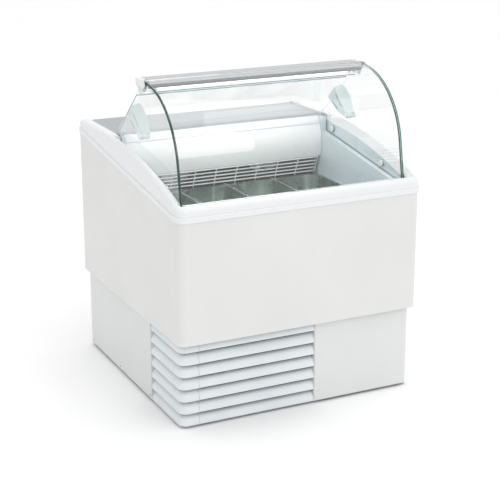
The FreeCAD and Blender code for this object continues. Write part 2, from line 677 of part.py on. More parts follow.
def foam():
    """Foamed-in insulation, round the liner and up into the frame's hollows, and a slab under the worktop."""
    gap = 0.4
    tub = block(-HALF_W + SKIN + gap, HALF_W - SKIN - gap, -HALF_D + SKIN + gap, HALF_D - SKIN - gap,
                TUB_BOTTOM + SKIN + gap, 900, CORNER_R - SKIN - gap, 0)
    tub = tub.cut(above_skin_line(-gap))
    whole = merge([tub] + cores(gap))
    shell = SHELL + gap
    keep_out = [well_wall(shell, WELL_FLOOR - 2, 1300),
                well_wall(LINER_FLANGE + 2, WELL_SEAM - 3, WELL_SEAM + 0.3),
                rod((*DRAIN, 300), (*DRAIN, 600), DRAIN_R + 0.6),
                bent_tube(SUCTION, PIPE_R + 1, PIPE_BEND),
                box(PANEL_X[0] + 2, PANEL_X[1] - 2, HALF_D - 22, HALF_D + 2, PANEL_Z[0] + 2, PANEL_Z[1] - 2)]
    slab = block(-WELL_X + 3, WELL_X - 3, WORKTOP_FRONT + 8, WELL_REAR - 4, WORKTOP_Z - 28,
                 WORKTOP_Z - WORKTOP_T - 1, 0, WELL_R)
    return [whole.cut(keep_out), slab]


def inner_liner():
    """Seamless tub liner with an outward flange that the frame sits on."""
    top = WELL_SEAM - 0.4
    outer = well_wall(SKIN, WELL_FLOOR - SKIN, top)
    flange = well_wall(LINER_FLANGE, top - SKIN, top)
    inner = well_wall(0.0, WELL_FLOOR, WELL_SEAM + 5)
    x, y, z = SUCTION[-1]
    holes = [rod((*DRAIN, WELL_FLOOR - 10), (*DRAIN, WELL_FLOOR + 10), DRAIN_R + 0.4),
             rod((x, WELL_REAR - 10, z), (x, WELL_REAR + 10, z), PIPE_R + 1)]
    return merge([outer, flange]).cut([inner] + holes)


def worktop_panel():
    """Folded stainless worktop between the wings, its front edge rounded over."""
    reach = WING_IN + 3.5
    top = box(-reach, reach, WORKTOP_FRONT, HALF_D - 1, WORKTOP_Z - WORKTOP_T + 0.2, WORKTOP_Z)
    apron = box(-WELL_X + 1, WELL_X - 1, WORKTOP_FRONT, WORKTOP_FRONT + 2, WORKTOP_Z - 14, WORKTOP_Z - 1)
    panel = merge([top, apron])
    nose = [e for e in panel.Edges if abs(e.CenterOfMass.y - WORKTOP_FRONT) < 0.01
            and abs(e.CenterOfMass.z - WORKTOP_Z) < 0.01]
    return panel.makeFillet(2, nose)


def worktop_nosing():
    """White strip that slopes from the worktop's front edge down to the cover."""
    y, z = NOSING_FOOT
    profile = [(WORKTOP_FRONT - 0.5, WORKTOP_Z - 1), (WORKTOP_FRONT - 4, WORKTOP_Z - 1), (y, z), (y, z - 4),
               (WORKTOP_FRONT - 0.5, z - 4)]
    return prism_x(profile, -WELL_X + 0.5, WELL_X - 0.5)


def evaporator_cover():
    """Bowed white cover over the evaporator; its section is an arc three millimetres thick."""
    y0, z0 = NOSING_FOOT[0], NOSING_FOOT[1] - 4.5
    y1, z1 = COVER_FOOT
    half = WELL_X - 1
    middle_y, middle_z = (y0 + y1) / 2 - COVER_BULGE, (z0 + z1) / 2

    def arc(shift):
        points = [Vector(-half, y + shift, z) for y, z in ((y0, z0), (middle_y, middle_z), (y1, z1))]
        return points[0], Part.Arc(*points).toShape(), points[2]
    top, front, foot = arc(0.0)
    top_in, back, foot_in = arc(3.0)
    edges = [front, back] + straight_edges([top, top_in]) + straight_edges([foot, foot_in])
    return Part.Face(Part.Wire(Part.__sortEdges__(edges))).extrude(Vector(2 * half, 0, 0))


def air_grille():
    """Sloping white grille: rows of slots between upright bars."""
    y0, z0 = COVER_FOOT[0], COVER_FOOT[1] - 2.4
    y1, z1 = GRILLE_FOOT
    length = math.hypot(y1 - y0, z1 - z0)
    tilt = math.degrees(math.atan2(y1 - y0, z0 - z1))
    half = WELL_X - 1.5
    plate = box(-half, half, 0, 4, -length, 0)
    pitch_x = 2 * half / GRILLE_COLUMNS
    pitch_z = (length - 6) / GRILLE_ROWS
    slots = []
    for row in range(GRILLE_ROWS):
        for column in range(GRILLE_COLUMNS):
            left = -half + column * pitch_x
            high = -5 - row * pitch_z
            slots.append(box(left + 3, left + pitch_x - 3, -1, 6, high - pitch_z * 0.56, high))
    grille = plate.cut(slots)
    grille.rotate(Vector(0, 0, 0), Vector(1, 0, 0), tilt)
    grille.translate(Vector(0, y0, z0))
    return grille


def evaporator_coil():
    return finned_block(*EVAPORATOR, 16.0, 12.5, 78.0)


def evaporator_fan_plate():
    """Upright plate with two air openings and a foot over the coil."""
    plate = box(-398, 398, EVAPORATOR_FAN_Y, EVAPORATOR_FAN_Y + 2, 630, 880)
    foot = box(-398, 398, EVAPORATOR_FAN_Y, 396, 628, 630)
    centres = [(sx * EVAPORATOR_FAN_X, EVAPORATOR_FAN_Y - 10, EVAPORATOR_FAN_Z) for sx in (-1, 1)]
    slot = box(-360, 360, 235, 385, 620, 640)
    return plate_holes(merge([plate, foot]).cut(slot), centres, EVAPORATOR_FAN_R + 6, (0, 1, 0), 30)


def evaporator_fan_motors():
    """Two small motors, each on a cross strap behind its air opening."""
    x = EVAPORATOR_FAN_X
    y = EVAPORATOR_FAN_Y + 24
    can = Part.makeCylinder(28, 40, Vector(x, y, EVAPORATOR_FAN_Z), Vector(0, 1, 0))
    shaft = rod((x, EVAPORATOR_FAN_Y - 4, EVAPORATOR_FAN_Z), (x, y + 5, EVAPORATOR_FAN_Z), PIN_R)
    strap = box(x - 90, x + 90, y + 4, y + 6, EVAPORATOR_FAN_Z - 8, EVAPORATOR_FAN_Z + 8)
    legs = [box(x + s * 89 - 1, x + s * 89 + 1, EVAPORATOR_FAN_Y + 2.2, y + 6, EVAPORATOR_FAN_Z - 8,
                EVAPORATOR_FAN_Z + 8) for s in (-1, 1)]
    return pair(merge([can, shaft, strap] + legs))


def evaporator_fan_right():
    return fan_wheel(EVAPORATOR_FAN_X, EVAPORATOR_FAN_Y - 2, EVAPORATOR_FAN_Z, 18, EVAPORATOR_FAN_R, 16.0, 5)


def evaporator_fan_left():
    return fan_wheel(-EVAPORATOR_FAN_X, EVAPORATOR_FAN_Y - 2, EVAPORATOR_FAN_Z, 18, EVAPORATOR_FAN_R, 16.0, 5)


def return_duct():
    """Sheet that parts the return-air duct from the pans: upright wall and slotted, sloping top."""
    wall = box(-WELL_X + 2, WELL_X - 2, DUCT_Y, DUCT_Y + SKIN, WELL_FLOOR + 0.3, DUCT_TOP)
    near, far = DUCT_Y + SKIN, WELL_FRONT + 2
    top = prism_x([(near, DUCT_TOP), (far, DUCT_TOP + 26), (far, DUCT_TOP + 24.5), (near, DUCT_TOP - 1.6)],
                  -WELL_X + 22, WELL_X - 22)
    slots = []
    for column in range(10):
        left = -370.0 + column * 75.0
        for y in (-388.0, -362.0):
            slots.append(box(left, left + 60, y, y + 12, DUCT_TOP - 20, DUCT_TOP + 50))
    return merge([wall, top.cut(slots)])


def pan_support_bars():
    """Bars along the pans' sides, standing on a cross bar at each end."""
    bars = []
    for i in range(PANS + 1):
        x = (i - PANS / 2) * PAN_PITCH
        if 0 < i < PANS:
            x0, x1 = x - BAR_HALF, x + BAR_HALF
        else:
            x0, x1 = sorted((x - math.copysign(1.0, x), x + math.copysign(3.0, x)))
        bars.append(box(x0, x1, BAR_Y[0], BAR_Y[1], BAR_SEAT, PAN_TOP - 1.5))
    reach = WELL_X - 2.5
    front = box(-reach, reach, BAR_Y[0], BAR_Y[0] + 3, BAR_SEAT - 24, BAR_SEAT)
    rear = box(-reach, reach, BAR_Y[1] - 3, BAR_Y[1], BAR_SEAT - 24, BAR_SEAT)
    return bars + [front, rear]


def pan_bowl(inset, depth, bottom_r):
    """Tapered bowl with large corner radii and a rounded floor."""
    half_w = PAN_WIDTH / 2 - PAN_FLANGE - inset
    half_l = PAN_LENGTH / 2 - PAN_FLANGE - inset
    taper = 7.0
    wires = []
    for z, shrink in ((0.0, 0.0), (-depth, taper)):
        outline = block(-half_w + shrink, half_w - shrink, -half_l + shrink, half_l - shrink, z - 10, z,
                        PAN_MOUTH_R - inset - shrink, PAN_MOUTH_R - inset - shrink)
        top = max(outline.Faces, key=lambda f: f.CenterOfMass.z)
        wires.append(top.OuterWire)
    bowl = Part.makeLoft(wires, True, True)
    floor = min(bowl.Faces, key=lambda f: f.CenterOfMass.z)
    return bowl.makeFillet(bottom_r, floor.Edges)


def pan():
    """One pressed pan at the origin of its own mouth: flange with a turned-down rim, and the bowl."""
    half_w = PAN_WIDTH / 2
    half_l = PAN_LENGTH / 2
    flange = block(-half_w, half_w, -half_l, half_l, -PAN_WALL, 0, 4, 4)
    outside = merge([flange, pan_bowl(0.0, PAN_DEPTH, 22.0)])
    return outside.cut(pan_bowl(PAN_WALL, PAN_DEPTH - PAN_WALL, 21.0))


def pans():
    one = pan()
    result = []
    for i in range(PANS):
        copy = one.copy()
        copy.translate(Vector((i - (PANS - 1) / 2) * PAN_PITCH, PAN_REAR - PAN_LENGTH / 2, PAN_TOP))
        result.append(copy)
    return result


# ---------------------------------------------------------------- canopy
def glass_line(inset, x, foot_ahead=0.0, overrun=0.0):
    """The front glass's section line, moved inwards by inset: straight, arc, straight.

    foot_ahead lengthens it at the foot and overrun at the tip.
    """
    lean = math.radians(GLASS_LEAN)
    top = math.radians(GLASS_TOP_LEAN)
    oy, oz = GLASS_FOOT
    along = (math.sin(lean), math.cos(lean))
    inward = (math.cos(lean), -math.sin(lean))

    def on_straight(run):
        return (oy + inward[0] * inset + along[0] * run, oz + inward[1] * inset + along[1] * run)
    foot = on_straight(-foot_ahead)
    start = on_straight(GLASS_STRAIGHT)
    radius = GLASS_R - inset
    centre = (start[0] + radius * math.cos(lean), start[1] - radius * math.sin(lean))

    def on_arc(angle):
        return (centre[0] - radius * math.cos(angle), centre[1] + radius * math.sin(angle))
    middle = on_arc((lean + top) / 2)
    end = on_arc(top)
    run = GLASS_TOP_RUN + overrun
    tip = (end[0] + run * math.sin(top), end[1] + run * math.cos(top))
    points = [Vector(x, *p) for p in (foot, start, middle, end, tip)]
    edges = straight_edges(points[:2]) + [Part.Arc(*points[1:4]).toShape()] + straight_edges(points[3:])
    return edges, points[0], points[-1]


def glass_band(outer_inset, inner_inset, half, overrun=0.0):
    """A bent sheet between two insets of the section line."""
    outer, foot_o, tip_o = glass_line(outer_inset, -half, 0.0, overrun)
    inner, foot_i, tip_i = glass_line(inner_inset, -half, 0.0, overrun)
    edges = outer + inner + straight_edges([foot_o, foot_i]) + straight_edges([tip_o, tip_i])
    wire = Part.Wire(Part.__sortEdges__(edges))
    return Part.Face(wire).extrude(Vector(2 * half, 0, 0))


def front_glass():
    """Bent toughened glass, from the front rim up and over to the rail."""
    sheet = glass_band(0.0, GLASS, GLASS_HALF_W)
    level = box(-600, 600, -600, 600, 600, GLASS_FOOT[1])
    return sheet.cut(level)


def glass_seat_strip():
    """Silicone strip on the front rim that the front glass closes onto."""
    y = GLASS_FOOT[0] - 2
    slope = (FRONT_CREST[1] - FRONT_INNER[1]) / (FRONT_INNER[0] - FRONT_CREST[0])

    def rim(at):
        return FRONT_CREST[1] - (at - FRONT_CREST[0]) * slope
    return prism_x([(y, rim(y) + 0.1), (y + 11, rim(y + 11) + 0.1), (y + 11, GLASS_FOOT[1] - 0.8),
                    (y, GLASS_FOOT[1] - 0.8)], -SIDE_GLASS_IN + 1, SIDE_GLASS_IN - 1)


def line_height(foot, tilt, y):
    """Height at depth y of a line that rises towards the front from its foot."""
    return foot[1] + (foot[0] - y) * math.tan(math.radians(tilt))


def side_glass_right():
    """Flat side glass: ledge line below, slanted rear edge, and a front edge inside the bent glass."""
    gap = 1.5
    py, pz = CANOPY_PIVOT
    foot_y, foot_z = REAR_EDGE_FOOT
    tilt = math.radians(REAR_EDGE_TILT)
    normal = (math.sin(tilt), math.cos(tilt))
    tangent = (py + normal[0] * APEX_R, pz + normal[1] * APEX_R)
    ledge = [(y, z + gap) for y, z in LEDGE]
    step_y = WELL_FRONT + 3
    rim_z = FRONT_INNER[1] + 3
    outline = [(-600, rim_z), (step_y, rim_z), (step_y, ledge[0][1] + 0.5)] + ledge[1:]
    outline += [(LEDGE_END - gap, 860), (LEDGE_END - gap, WORKTOP_Z + 3), (foot_y, WORKTOP_Z + 3),
                (foot_y, foot_z), tangent, (py, pz + APEX_R),
                (-380, 1300), (-600, 1300)]
    sheet = prism_x(outline, SIDE_GLASS_IN, SIDE_GLASS_OUT)
    apex = rod((SIDE_GLASS_IN, py, pz), (SIDE_GLASS_OUT, py, pz), APEX_R)
    sheet = merge([sheet, apex])
    sheet = sheet.common(inside_canopy(GLASS + 1.5))
    sheet = sheet.cut([rod((400, y, z), (460, y, z), r + 0.4) for y, z, r in PIN_PLACES])
    return sheet


def inside_canopy(inset):
    """Everything behind the bent glass's inner face."""
    edges, foot, tip = glass_line(inset, 380.0, 120.0, 60.0)
    corners = [tip, Vector(380, 600, tip.z), Vector(380, 600, foot.z), foot]
    return Part.Face(Part.Wire(edges + straight_edges(corners))).extrude(Vector(100, 0, 0))


def side_glass_left():
    return mirrored(side_glass_right())


def side_glass_bolts():
    """Capped bolts that clamp the side glasses to the wings."""
    bolts = []
    for y, z, r in PIN_PLACES[2:]:
        shank = rod((SIDE_GLASS_IN - 1, y, z), (WING_IN, y, z), r)
        cap = rod((SIDE_GLASS_IN - 7, y, z), (SIDE_GLASS_IN - 0.2, y, z), 12)
        cap = cap.makeFillet(2.5, [e for e in cap.Edges if e.CenterOfMass.x < SIDE_GLASS_IN - 6.9
                                   and e.Curve.TypeId == "Part::GeomCircle"])
        bolts += pair(merge([shank, cap]))
    return bolts


def top_rail():
    """Hollow aluminium rail with a rebate for the bent glass."""
    outline = [(RAIL_FRONT, RAIL_BOTTOM + 3), (RAIL_FRONT + 3, RAIL_BOTTOM), (RAIL_REAR - 3, RAIL_BOTTOM),
               (RAIL_REAR, RAIL_BOTTOM + 3), (RAIL_REAR, RAIL_TOP - 5), (RAIL_REAR - 5, RAIL_TOP),
               (RAIL_FRONT + 8, RAIL_TOP), (RAIL_FRONT, RAIL_TOP - 4)]
    hollow = [(RAIL_FRONT + 3, RAIL_BOTTOM + 3), (RAIL_REAR - 3, RAIL_BOTTOM + 3),
              (RAIL_REAR - 3, RAIL_TOP - 6), (RAIL_REAR - 6, RAIL_TOP - 3), (RAIL_FRONT + 24, RAIL_TOP - 3),
              (RAIL_FRONT + 24, RAIL_TOP - 14), (RAIL_FRONT + 3, RAIL_TOP - 16)]
    rail = prism_x(outline, -RAIL_HALF, RAIL_HALF)
    rail = rail.cut(prism_x(hollow, -RAIL_HALF - 1, RAIL_HALF + 1))
    return rail.cut(glass_band(-12.0, GLASS + 0.2, 600.0, 0.5))


def rail_end_caps():
    """White cheeks at the rail's ends, bored for the pivot pins and hooked over the rail."""
    py, pz = CANOPY_PIVOT
    front, rear = RAIL_FRONT + 2, RAIL_REAR - 2
    cheek = prism_x([(front, RAIL_TOP), (front, RAIL_BOTTOM), (py - CAP_R, pz), (py + CAP_R, pz),
                     (rear, RAIL_BOTTOM), (rear, RAIL_TOP)], CAP_IN, CAP_OUT)
    boss = rod((CAP_IN, py, pz), (CAP_OUT, py, pz), CAP_R)
    hook = box(RAIL_HALF + 0.2, CAP_IN + 1, -100, -62, RAIL_BOTTOM + 10, RAIL_TOP)
    cheek = merge([cheek, boss])
    rims = [e for e in cheek.Edges if e.BoundBox.XMin > CAP_OUT - 0.01]
    cheek = cheek.makeFillet(1.5, rims)
    bore = rod((400, py, pz), (460, py, pz), PIN_R + RUNNING)
    return pair(merge([cheek, hook]).cut(bore))


def canopy_pivot_pins():
    """Pins clamped in the side glasses: knob inside, spacer, shank through the cheek, capped end."""
    py, pz = CANOPY_PIVOT
    shank = rod((SIDE_GLASS_IN - 14, py, pz), (CAP_OUT + 3, py, pz), PIN_R)
    knob = rod((SIDE_GLASS_IN - 15, py, pz), (SIDE_GLASS_IN - 0.2, py, pz), 11)
    knob = knob.makeFillet(3, [e for e in knob.Edges if e.CenterOfMass.x < SIDE_GLASS_IN - 14.9
                               and e.Curve.TypeId == "Part::GeomCircle"])
    spacer = rod((SIDE_GLASS_OUT + 0.2, py, pz), (CAP_IN - 0.3, py, pz), 8)
    end = rod((CAP_OUT + 0.4, py, pz), (CAP_OUT + 3.5, py, pz), 8)
    return pair(merge([shank, knob, spacer, end]))


def lamp_tube():
    return rod((-LAMP_HALF, *LAMP), (LAMP_HALF, *LAMP), LAMP_R)


def lamp_holders():
    """Plastic holders under the rail at the lamp's ends."""
    holder = box(LAMP_HALF + 0.2, LAMP_HALF + 14, LAMP[0] - 10, LAMP[0] + 10, LAMP[1] - 10, RAIL_BOTTOM)
    return pair(holder)


def lamp_guard():
    """Clear trough under the rail, open at its ends."""
    y0, y1 = RAIL_FRONT + 5, RAIL_REAR - 5
    low = 1117.0
    outer = box(-RAIL_HALF + 18, RAIL_HALF - 18, y0, y1, low, RAIL_BOTTOM - 0.1)
    outer = outer.makeFillet(10, [e for e in outer.Edges if abs(e.CenterOfMass.z - low) < 0.01
                                  and abs(e.CenterOfMass.x) < 1])
    inner = box(-RAIL_HALF, RAIL_HALF, y0 + 1.5, y1 - 1.5, low + 1.5, RAIL_BOTTOM + 10)
    inner = inner.makeFillet(8.5, [e for e in inner.Edges if abs(e.CenterOfMass.z - low - 1.5) < 0.01
                                   and abs(e.CenterOfMass.x) < 1])
    return outer.cut(inner)


# ---------------------------------------------------------------- rear flap
def flap_point(along, depth=0.0):
    """A point on the flap's section: along it from its foot, and depth in from its outer face."""
    tilt = math.radians(FLAP_TILT)
    y = FLAP_FOOT[0] - along * math.cos(tilt) - depth * math.sin(tilt)
    z = FLAP_FOOT[1] + along * math.sin(tilt) - depth * math.cos(tilt)
    return (y, z)


def rear_flap():
    """Clear sheet that closes the server's side, from the worktop's edge up to the rail."""
    corners = [flap_point(0), flap_point(FLAP_LENGTH), flap_point(FLAP_LENGTH, FLAP_T), flap_point(0, FLAP_T)]
    return prism_x(corners, -FLAP_HALF, FLAP_HALF)


def fin_wire(x, seat_end, front):
    """Outline of one side of a bracket: its seat under the flap, its front edge, its pivot end, its back."""
    seat = [flap_point(FIN_SEAT[0], FLAP_T + 0.2), flap_point(seat_end, FLAP_T + 0.2)]
    corners = [Vector(x, *p) for p in seat + front + [FIN_BACK]]
    return Part.makePolygon(corners + corners[:1])


def slot_cutter(start, end):
    """A slot with square ends, cut into the bracket's side between two points."""
    dy, dz = end[0] - start[0], end[1] - start[1]
    length = math.hypot(dy, dz)
    ny, nz = -dz / length * FIN_SLOT_W / 2, dy / length * FIN_SLOT_W / 2
    corners = [(start[0] + ny, start[1] + nz), (end[0] + ny, end[1] + nz), (end[0] - ny, end[1] - nz),
               (start[0] - ny, start[1] - nz)]
    return prism_x(corners, FIN_IN - 1, FIN_IN + FIN_SLOT_DEPTH)


def flap_brackets():
    """Two alike moulded brackets that carry the flap, wider towards one side, with two slots each."""
    py, pz = FLAP_PIVOT
    near = fin_wire(FIN_IN, FIN_SEAT[1], FIN_FRONT_NEAR)
    far = fin_wire(FIN_OUT, FIN_SEAT[2], FIN_FRONT_FAR)
    blade = Part.makeLoft([near, far], True, True)
    boss = rod((FIN_IN, py, pz), (FIN_OUT, py, pz), FIN_BOSS_R)
    bore = rod((FIN_IN - 5, py, pz), (FIN_OUT + 5, py, pz), PIN_R + RUNNING)
    right = merge([blade, boss]).cut([bore] + [slot_cutter(*ends) for ends in FIN_SLOTS])
    left = right.copy()
    left.translate(Vector(-FIN_IN - FIN_OUT, 0, 0))
    return [right, left]


def flap_pivot_pins():
    """Pins clamped in the side glasses that the flap's brackets turn on."""
    py, pz = FLAP_PIVOT
    shank = rod((FIN_IN - 3, py, pz), (SIDE_GLASS_OUT + 3, py, pz), PIN_R)
    head = rod((FIN_IN - 4, py, pz), (FIN_IN - 0.4, py, pz), 8)
    collar = rod((FIN_OUT + 0.4, py, pz), (SIDE_GLASS_IN - 0.2, py, pz), 9)
    cap = rod((SIDE_GLASS_OUT + 0.2, py, pz), (SIDE_GLASS_OUT + 5, py, pz), 12)
    return pair(merge([shank, head, collar, cap]))


# ---------------------------------------------------------------- controls
def control_panel():
    """Bezel on the rear skin with openings for the keys and the switch, and a box behind it."""
    face = HALF_D + 3.0
    bezel = box(PANEL_X[0], PANEL_X[1], HALF_D, face, PANEL_Z[0], PANEL_Z[1])
    bezel = bezel.makeFillet(2, [e for e in bezel.Edges if abs(e.CenterOfMass.y - face) < 0.01])
    tray = box(PANEL_X[0] + 7, PANEL_X[1] - 7, HALF_D - 20, HALF_D + 1, PANEL_Z[0] + 7, PANEL_Z[1] - 7)
    hollow = box(PANEL_X[0] + 9, PANEL_X[1] - 9, HALF_D - 18, HALF_D, PANEL_Z[0] + 9, PANEL_Z[1] - 9)
    window = box(-272, -204, face - 1, face + 5, 792, 816)
    keys = [rod((x, HALF_D - 10, BUTTON_Z), (x, face + 5, BUTTON_Z), BUTTON_R + 0.1) for x in BUTTON_X]
    x, z = SWITCH
    w, h = SWITCH_HALF
    switch = box(x - w - 0.5, x + w + 0.5, HALF_D - 5, face + 5, z - h - 1.2, z + h + 1.2)
    return merge([bezel, tray]).cut([hollow, window, switch] + keys)


def buttons():
    """Round keys, a millimetre and a half proud of the bezel."""
    result = []
    for x in BUTTON_X:
        key = rod((x, HALF_D - 6, BUTTON_Z), (x, HALF_D + 4.5, BUTTON_Z), BUTTON_R)
        result.append(key.makeFillet(0.8, [e for e in key.Edges if e.CenterOfMass.y > HALF_D + 4.4
                                           and e.Curve.TypeId == "Part::GeomCircle"]))
    return result


def light_switch():
    """Rocker with a shallow dished face and a stub of its trunnion on each side."""
    x, z = SWITCH
    w, h = SWITCH_HALF
    profile = [(HALF_D - 3, z - h + 3), (HALF_D + 2, z - h), (HALF_D + 4, z - h), (HALF_D + 2.6, z),
               (HALF_D + 4, z + h), (HALF_D + 2, z + h), (HALF_D - 3, z + h - 3)]
    trunnions = rod((x - w - 0.3, ROCKER_AXIS_Y, z), (x + w + 0.3, ROCKER_AXIS_Y, z), 1.5)
    return merge([prism_x(profile, x - w, x + w), trunnions])


# ---------------------------------------------------------------- write the parts
def main():
    os.makedirs("parts", exist_ok=True)
    plinth = [base_frame, levelling_feet, panel_left_rear, panel_front_right, panel_right, panel_rear,
              power_inlet, louvre_front_slats, louvre_side_slats, louvre_corner_slats, louvre_brackets]
    machine = [compressor, terminal_cover, condenser_coil, fan_shroud, condenser_fan_motor, condenser_fan,
               drip_tray, refrigerant_pipes]
    tub = [outer_skin, rear_skin, bottom_skin, foam, inner_liner, top_frame, worktop_panel, worktop_nosing,
           evaporator_cover, air_grille, evaporator_coil, evaporator_fan_motors, evaporator_fan_plate,
           evaporator_fan_left, evaporator_fan_right, drain_pipe, return_duct, pan_support_bars]
    glazing = [side_glass_left, side_glass_right, side_glass_bolts, canopy_pivot_pins, flap_pivot_pins,
               glass_seat_strip, top_rail, rail_end_caps, front_glass, lamp_tube, lamp_holders, lamp_guard,
               rear_flap, flap_brackets]
    controls = [control_panel, light_switch]
    for maker in plinth + machine + tub + glazing + controls:
        save(maker.__name__, maker())
    for i, solid in enumerate(pans()):
        save("pan_" + str(i + 1), solid)
    for name, solid in zip(("button_set", "button_up", "button_down"), buttons()):
        save(name, solid)


main()
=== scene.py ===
# %% [markdown]
# An ice-cream scooping freezer, dressed for its portrait. The working model of the freezer is already
# built: every panel, pan, hinge pin and fan is there, in metres, with its origin on the floor. This
# lesson gives each of those parts the finish that it has in a shop, adds the small things that catch
# the eye (screw heads, polished glass edges, rounded grille bars), and lights it softly.
# It begins by loading the model.

# %% load the model
import math

import bmesh
import bpy
import numpy as np
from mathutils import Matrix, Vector


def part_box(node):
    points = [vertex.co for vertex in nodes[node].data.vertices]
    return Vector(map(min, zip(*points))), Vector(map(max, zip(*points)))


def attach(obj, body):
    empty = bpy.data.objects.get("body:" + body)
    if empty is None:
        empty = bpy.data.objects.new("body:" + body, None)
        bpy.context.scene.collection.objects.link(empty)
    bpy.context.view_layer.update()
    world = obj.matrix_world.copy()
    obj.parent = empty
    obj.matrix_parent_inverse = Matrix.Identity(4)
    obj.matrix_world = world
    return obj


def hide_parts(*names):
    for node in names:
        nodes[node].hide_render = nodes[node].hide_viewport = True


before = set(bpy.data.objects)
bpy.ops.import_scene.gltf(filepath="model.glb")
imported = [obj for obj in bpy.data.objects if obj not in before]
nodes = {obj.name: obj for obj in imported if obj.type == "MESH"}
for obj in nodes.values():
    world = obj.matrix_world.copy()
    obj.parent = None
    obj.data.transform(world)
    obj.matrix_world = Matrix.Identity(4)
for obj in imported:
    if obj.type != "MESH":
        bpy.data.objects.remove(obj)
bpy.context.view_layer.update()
MM = 0.001

# %% [markdown]
# A catalogue picture of such a cabinet is taken from a little above, from the left of its front, with
# a long lens, so that the uprights stay nearly parallel. The camera's place is given by its heading
# and its dip, which are easier to reason about than Euler angles. A small vertical shift keeps the
# uprights straighter than the dip alone would.

# %% camera
CAMERA_PLACE = (-2.096, -4.330, 1.990)
HEADING = 26.10      # degrees from the front-to-back direction, turned to the right
DIP = 16.56          # degrees below level
LENS = 96.1          # mm, on a 36 mm frame

camera_data = bpy.data.cameras.new("portrait")
camera_data.lens = LENS
camera_data.sensor_width = 36.0
camera_data.shift_y = -0.05
camera = bpy.data.objects.new("portrait", camera_data)
bpy.context.scene.collection.objects.link(camera)
camera.location = CAMERA_PLACE
camera.rotation_euler = (math.radians(90 - DIP), 0, math.radians(-HEADING))
bpy.context.scene.camera = camera
print("camera", CAMERA_PLACE, "lens", LENS)

# %% [markdown]
# White enamel in a white studio has almost no contrast to show its shape with, so the light does the
# drawing: an even surround, a large soft light over the front, a weaker one overhead and a faint one on
# the right. The standard view keeps whites white; a filmic one would turn the whole cabinet grey. A last
# light hangs near the cabinet's own lamp and shines down into the well, which would be dark without it.

# %% studio
bpy.context.scene.view_settings.view_transform = "Standard"


def linear(code):
    """A colour given as sRGB hex, such as "D7DEE2", as the linear RGBA that shaders expect."""
    srgb = np.array([int(code[i:i + 2], 16) for i in (0, 2, 4)]) / 255
    straight = np.where(srgb <= 0.04045, srgb / 12.92, ((srgb + 0.055) / 1.055) ** 2.4)
    return (*[float(v) for v in straight], 1.0)


def soft_light(name, place, aim, size, watts):
    """A square area light of the given size, turned to face a point."""
    data = bpy.data.lights.new(name, "AREA")
    data.shape = "SQUARE"
    data.size = size
    data.energy = watts
    light = bpy.data.objects.new(name, data)
    light.location = place
    light.rotation_euler = (Vector(aim) - Vector(place)).to_track_quat("-Z", "Y").to_euler()
    bpy.context.scene.collection.objects.link(light)


world = bpy.data.worlds.new("surround")
world.use_nodes = True
world.node_tree.nodes["Background"].inputs["Color"].default_value = linear("FFFFFF")
world.node_tree.nodes["Background"].inputs["Strength"].default_value = 1.06
bpy.context.scene.world = world
soft_light("front_light", (0.6, -4.6, 3.4), (0, 0, 0.6), 3.0, 40)
soft_light("top_light", (0.2, -0.6, 4.8), (0, 0, 0.6), 3.0, 20)
soft_light("right_light", (4.6, -0.6, 2.6), (0, 0, 0.6), 2.5, 10)
soft_light("well_light", (0, -0.10, 1.10), (0, -0.04, 0.6), 0.6, 1.0)

# %% [markdown]
# Every new piece here is a surface worked out as whole arrays: a grid of points, joined by four-sided
# faces. Three helpers do it. One numbers the faces of a grid, one turns arrays into a mesh, and one
# hands the finished piece to the body that it moves with and names its finish.

# %% mesh helpers
WELD = 2e-6      # metres: points closer than this are one
SLIVER = 1e-7    # metres: edges shorter than this are taken out


def grid_faces(rows, columns):
    """Faces of a grid of points numbered row by row, its last column joined to its first."""
    r, c = np.meshgrid(np.arange(rows - 1), np.arange(columns), indexing="ij")
    after = (c + 1) % columns
    corners = [r * columns + c, r * columns + after, (r + 1) * columns + after, (r + 1) * columns + c]
    return np.stack(corners, axis=-1).reshape(-1, 4)


def joined(parts):
    """Several (points, faces) pairs as one, each part's faces renumbered past the points before it."""
    starts = np.cumsum([0] + [len(points) for points, _ in parts[:-1]])
    points = np.concatenate([points for points, _ in parts])
    faces = np.concatenate([faces + start for (_, faces), start in zip(parts, starts)])
    return points, faces


def piece(name, points, faces, body, slot, finish, sharp=None):
    """A mesh of the points and faces, its seams closed and its faces turned outwards, riding on a body."""
    mesh = bpy.data.meshes.new(name)
    mesh.vertices.add(len(points))
    mesh.vertices.foreach_set("co", np.asarray(points, np.float32).ravel())
    mesh.loops.add(faces.size)
    mesh.loops.foreach_set("vertex_index", faces.astype(np.int32).ravel())
    mesh.polygons.add(len(faces))
    mesh.polygons.foreach_set("loop_start", np.arange(0, faces.size, faces.shape[1], dtype=np.int32))
    mesh.update(calc_edges=True)
    shell = bmesh.new()
    shell.from_mesh(mesh)
    bmesh.ops.remove_doubles(shell, verts=shell.verts, dist=WELD)
    bmesh.ops.dissolve_degenerate(shell, edges=shell.edges, dist=SLIVER)
    bmesh.ops.recalc_face_normals(shell, faces=shell.faces)
    shell.to_mesh(mesh)
    shell.free()
    mesh.polygons.foreach_set("use_smooth", np.ones(len(mesh.polygons), bool))
    if sharp is not None:
        mesh.set_sharp_from_angle(angle=math.radians(sharp))
    thing = bpy.data.objects.new(name, mesh)
    bpy.context.scene.collection.objects.link(thing)
    thing.data.materials.append(finish)
    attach(thing, body)
    print(name, len(mesh.polygons), "faces on", body)
    return thing


# %% [markdown]
# Materials come next. A finish is a colour, a gloss and a texture, and each texture is set by a real
# size. One function adds a node with its settings and its links; a second starts a material from the
# values that hold over its whole surface. Colours are given as sRGB hex codes.

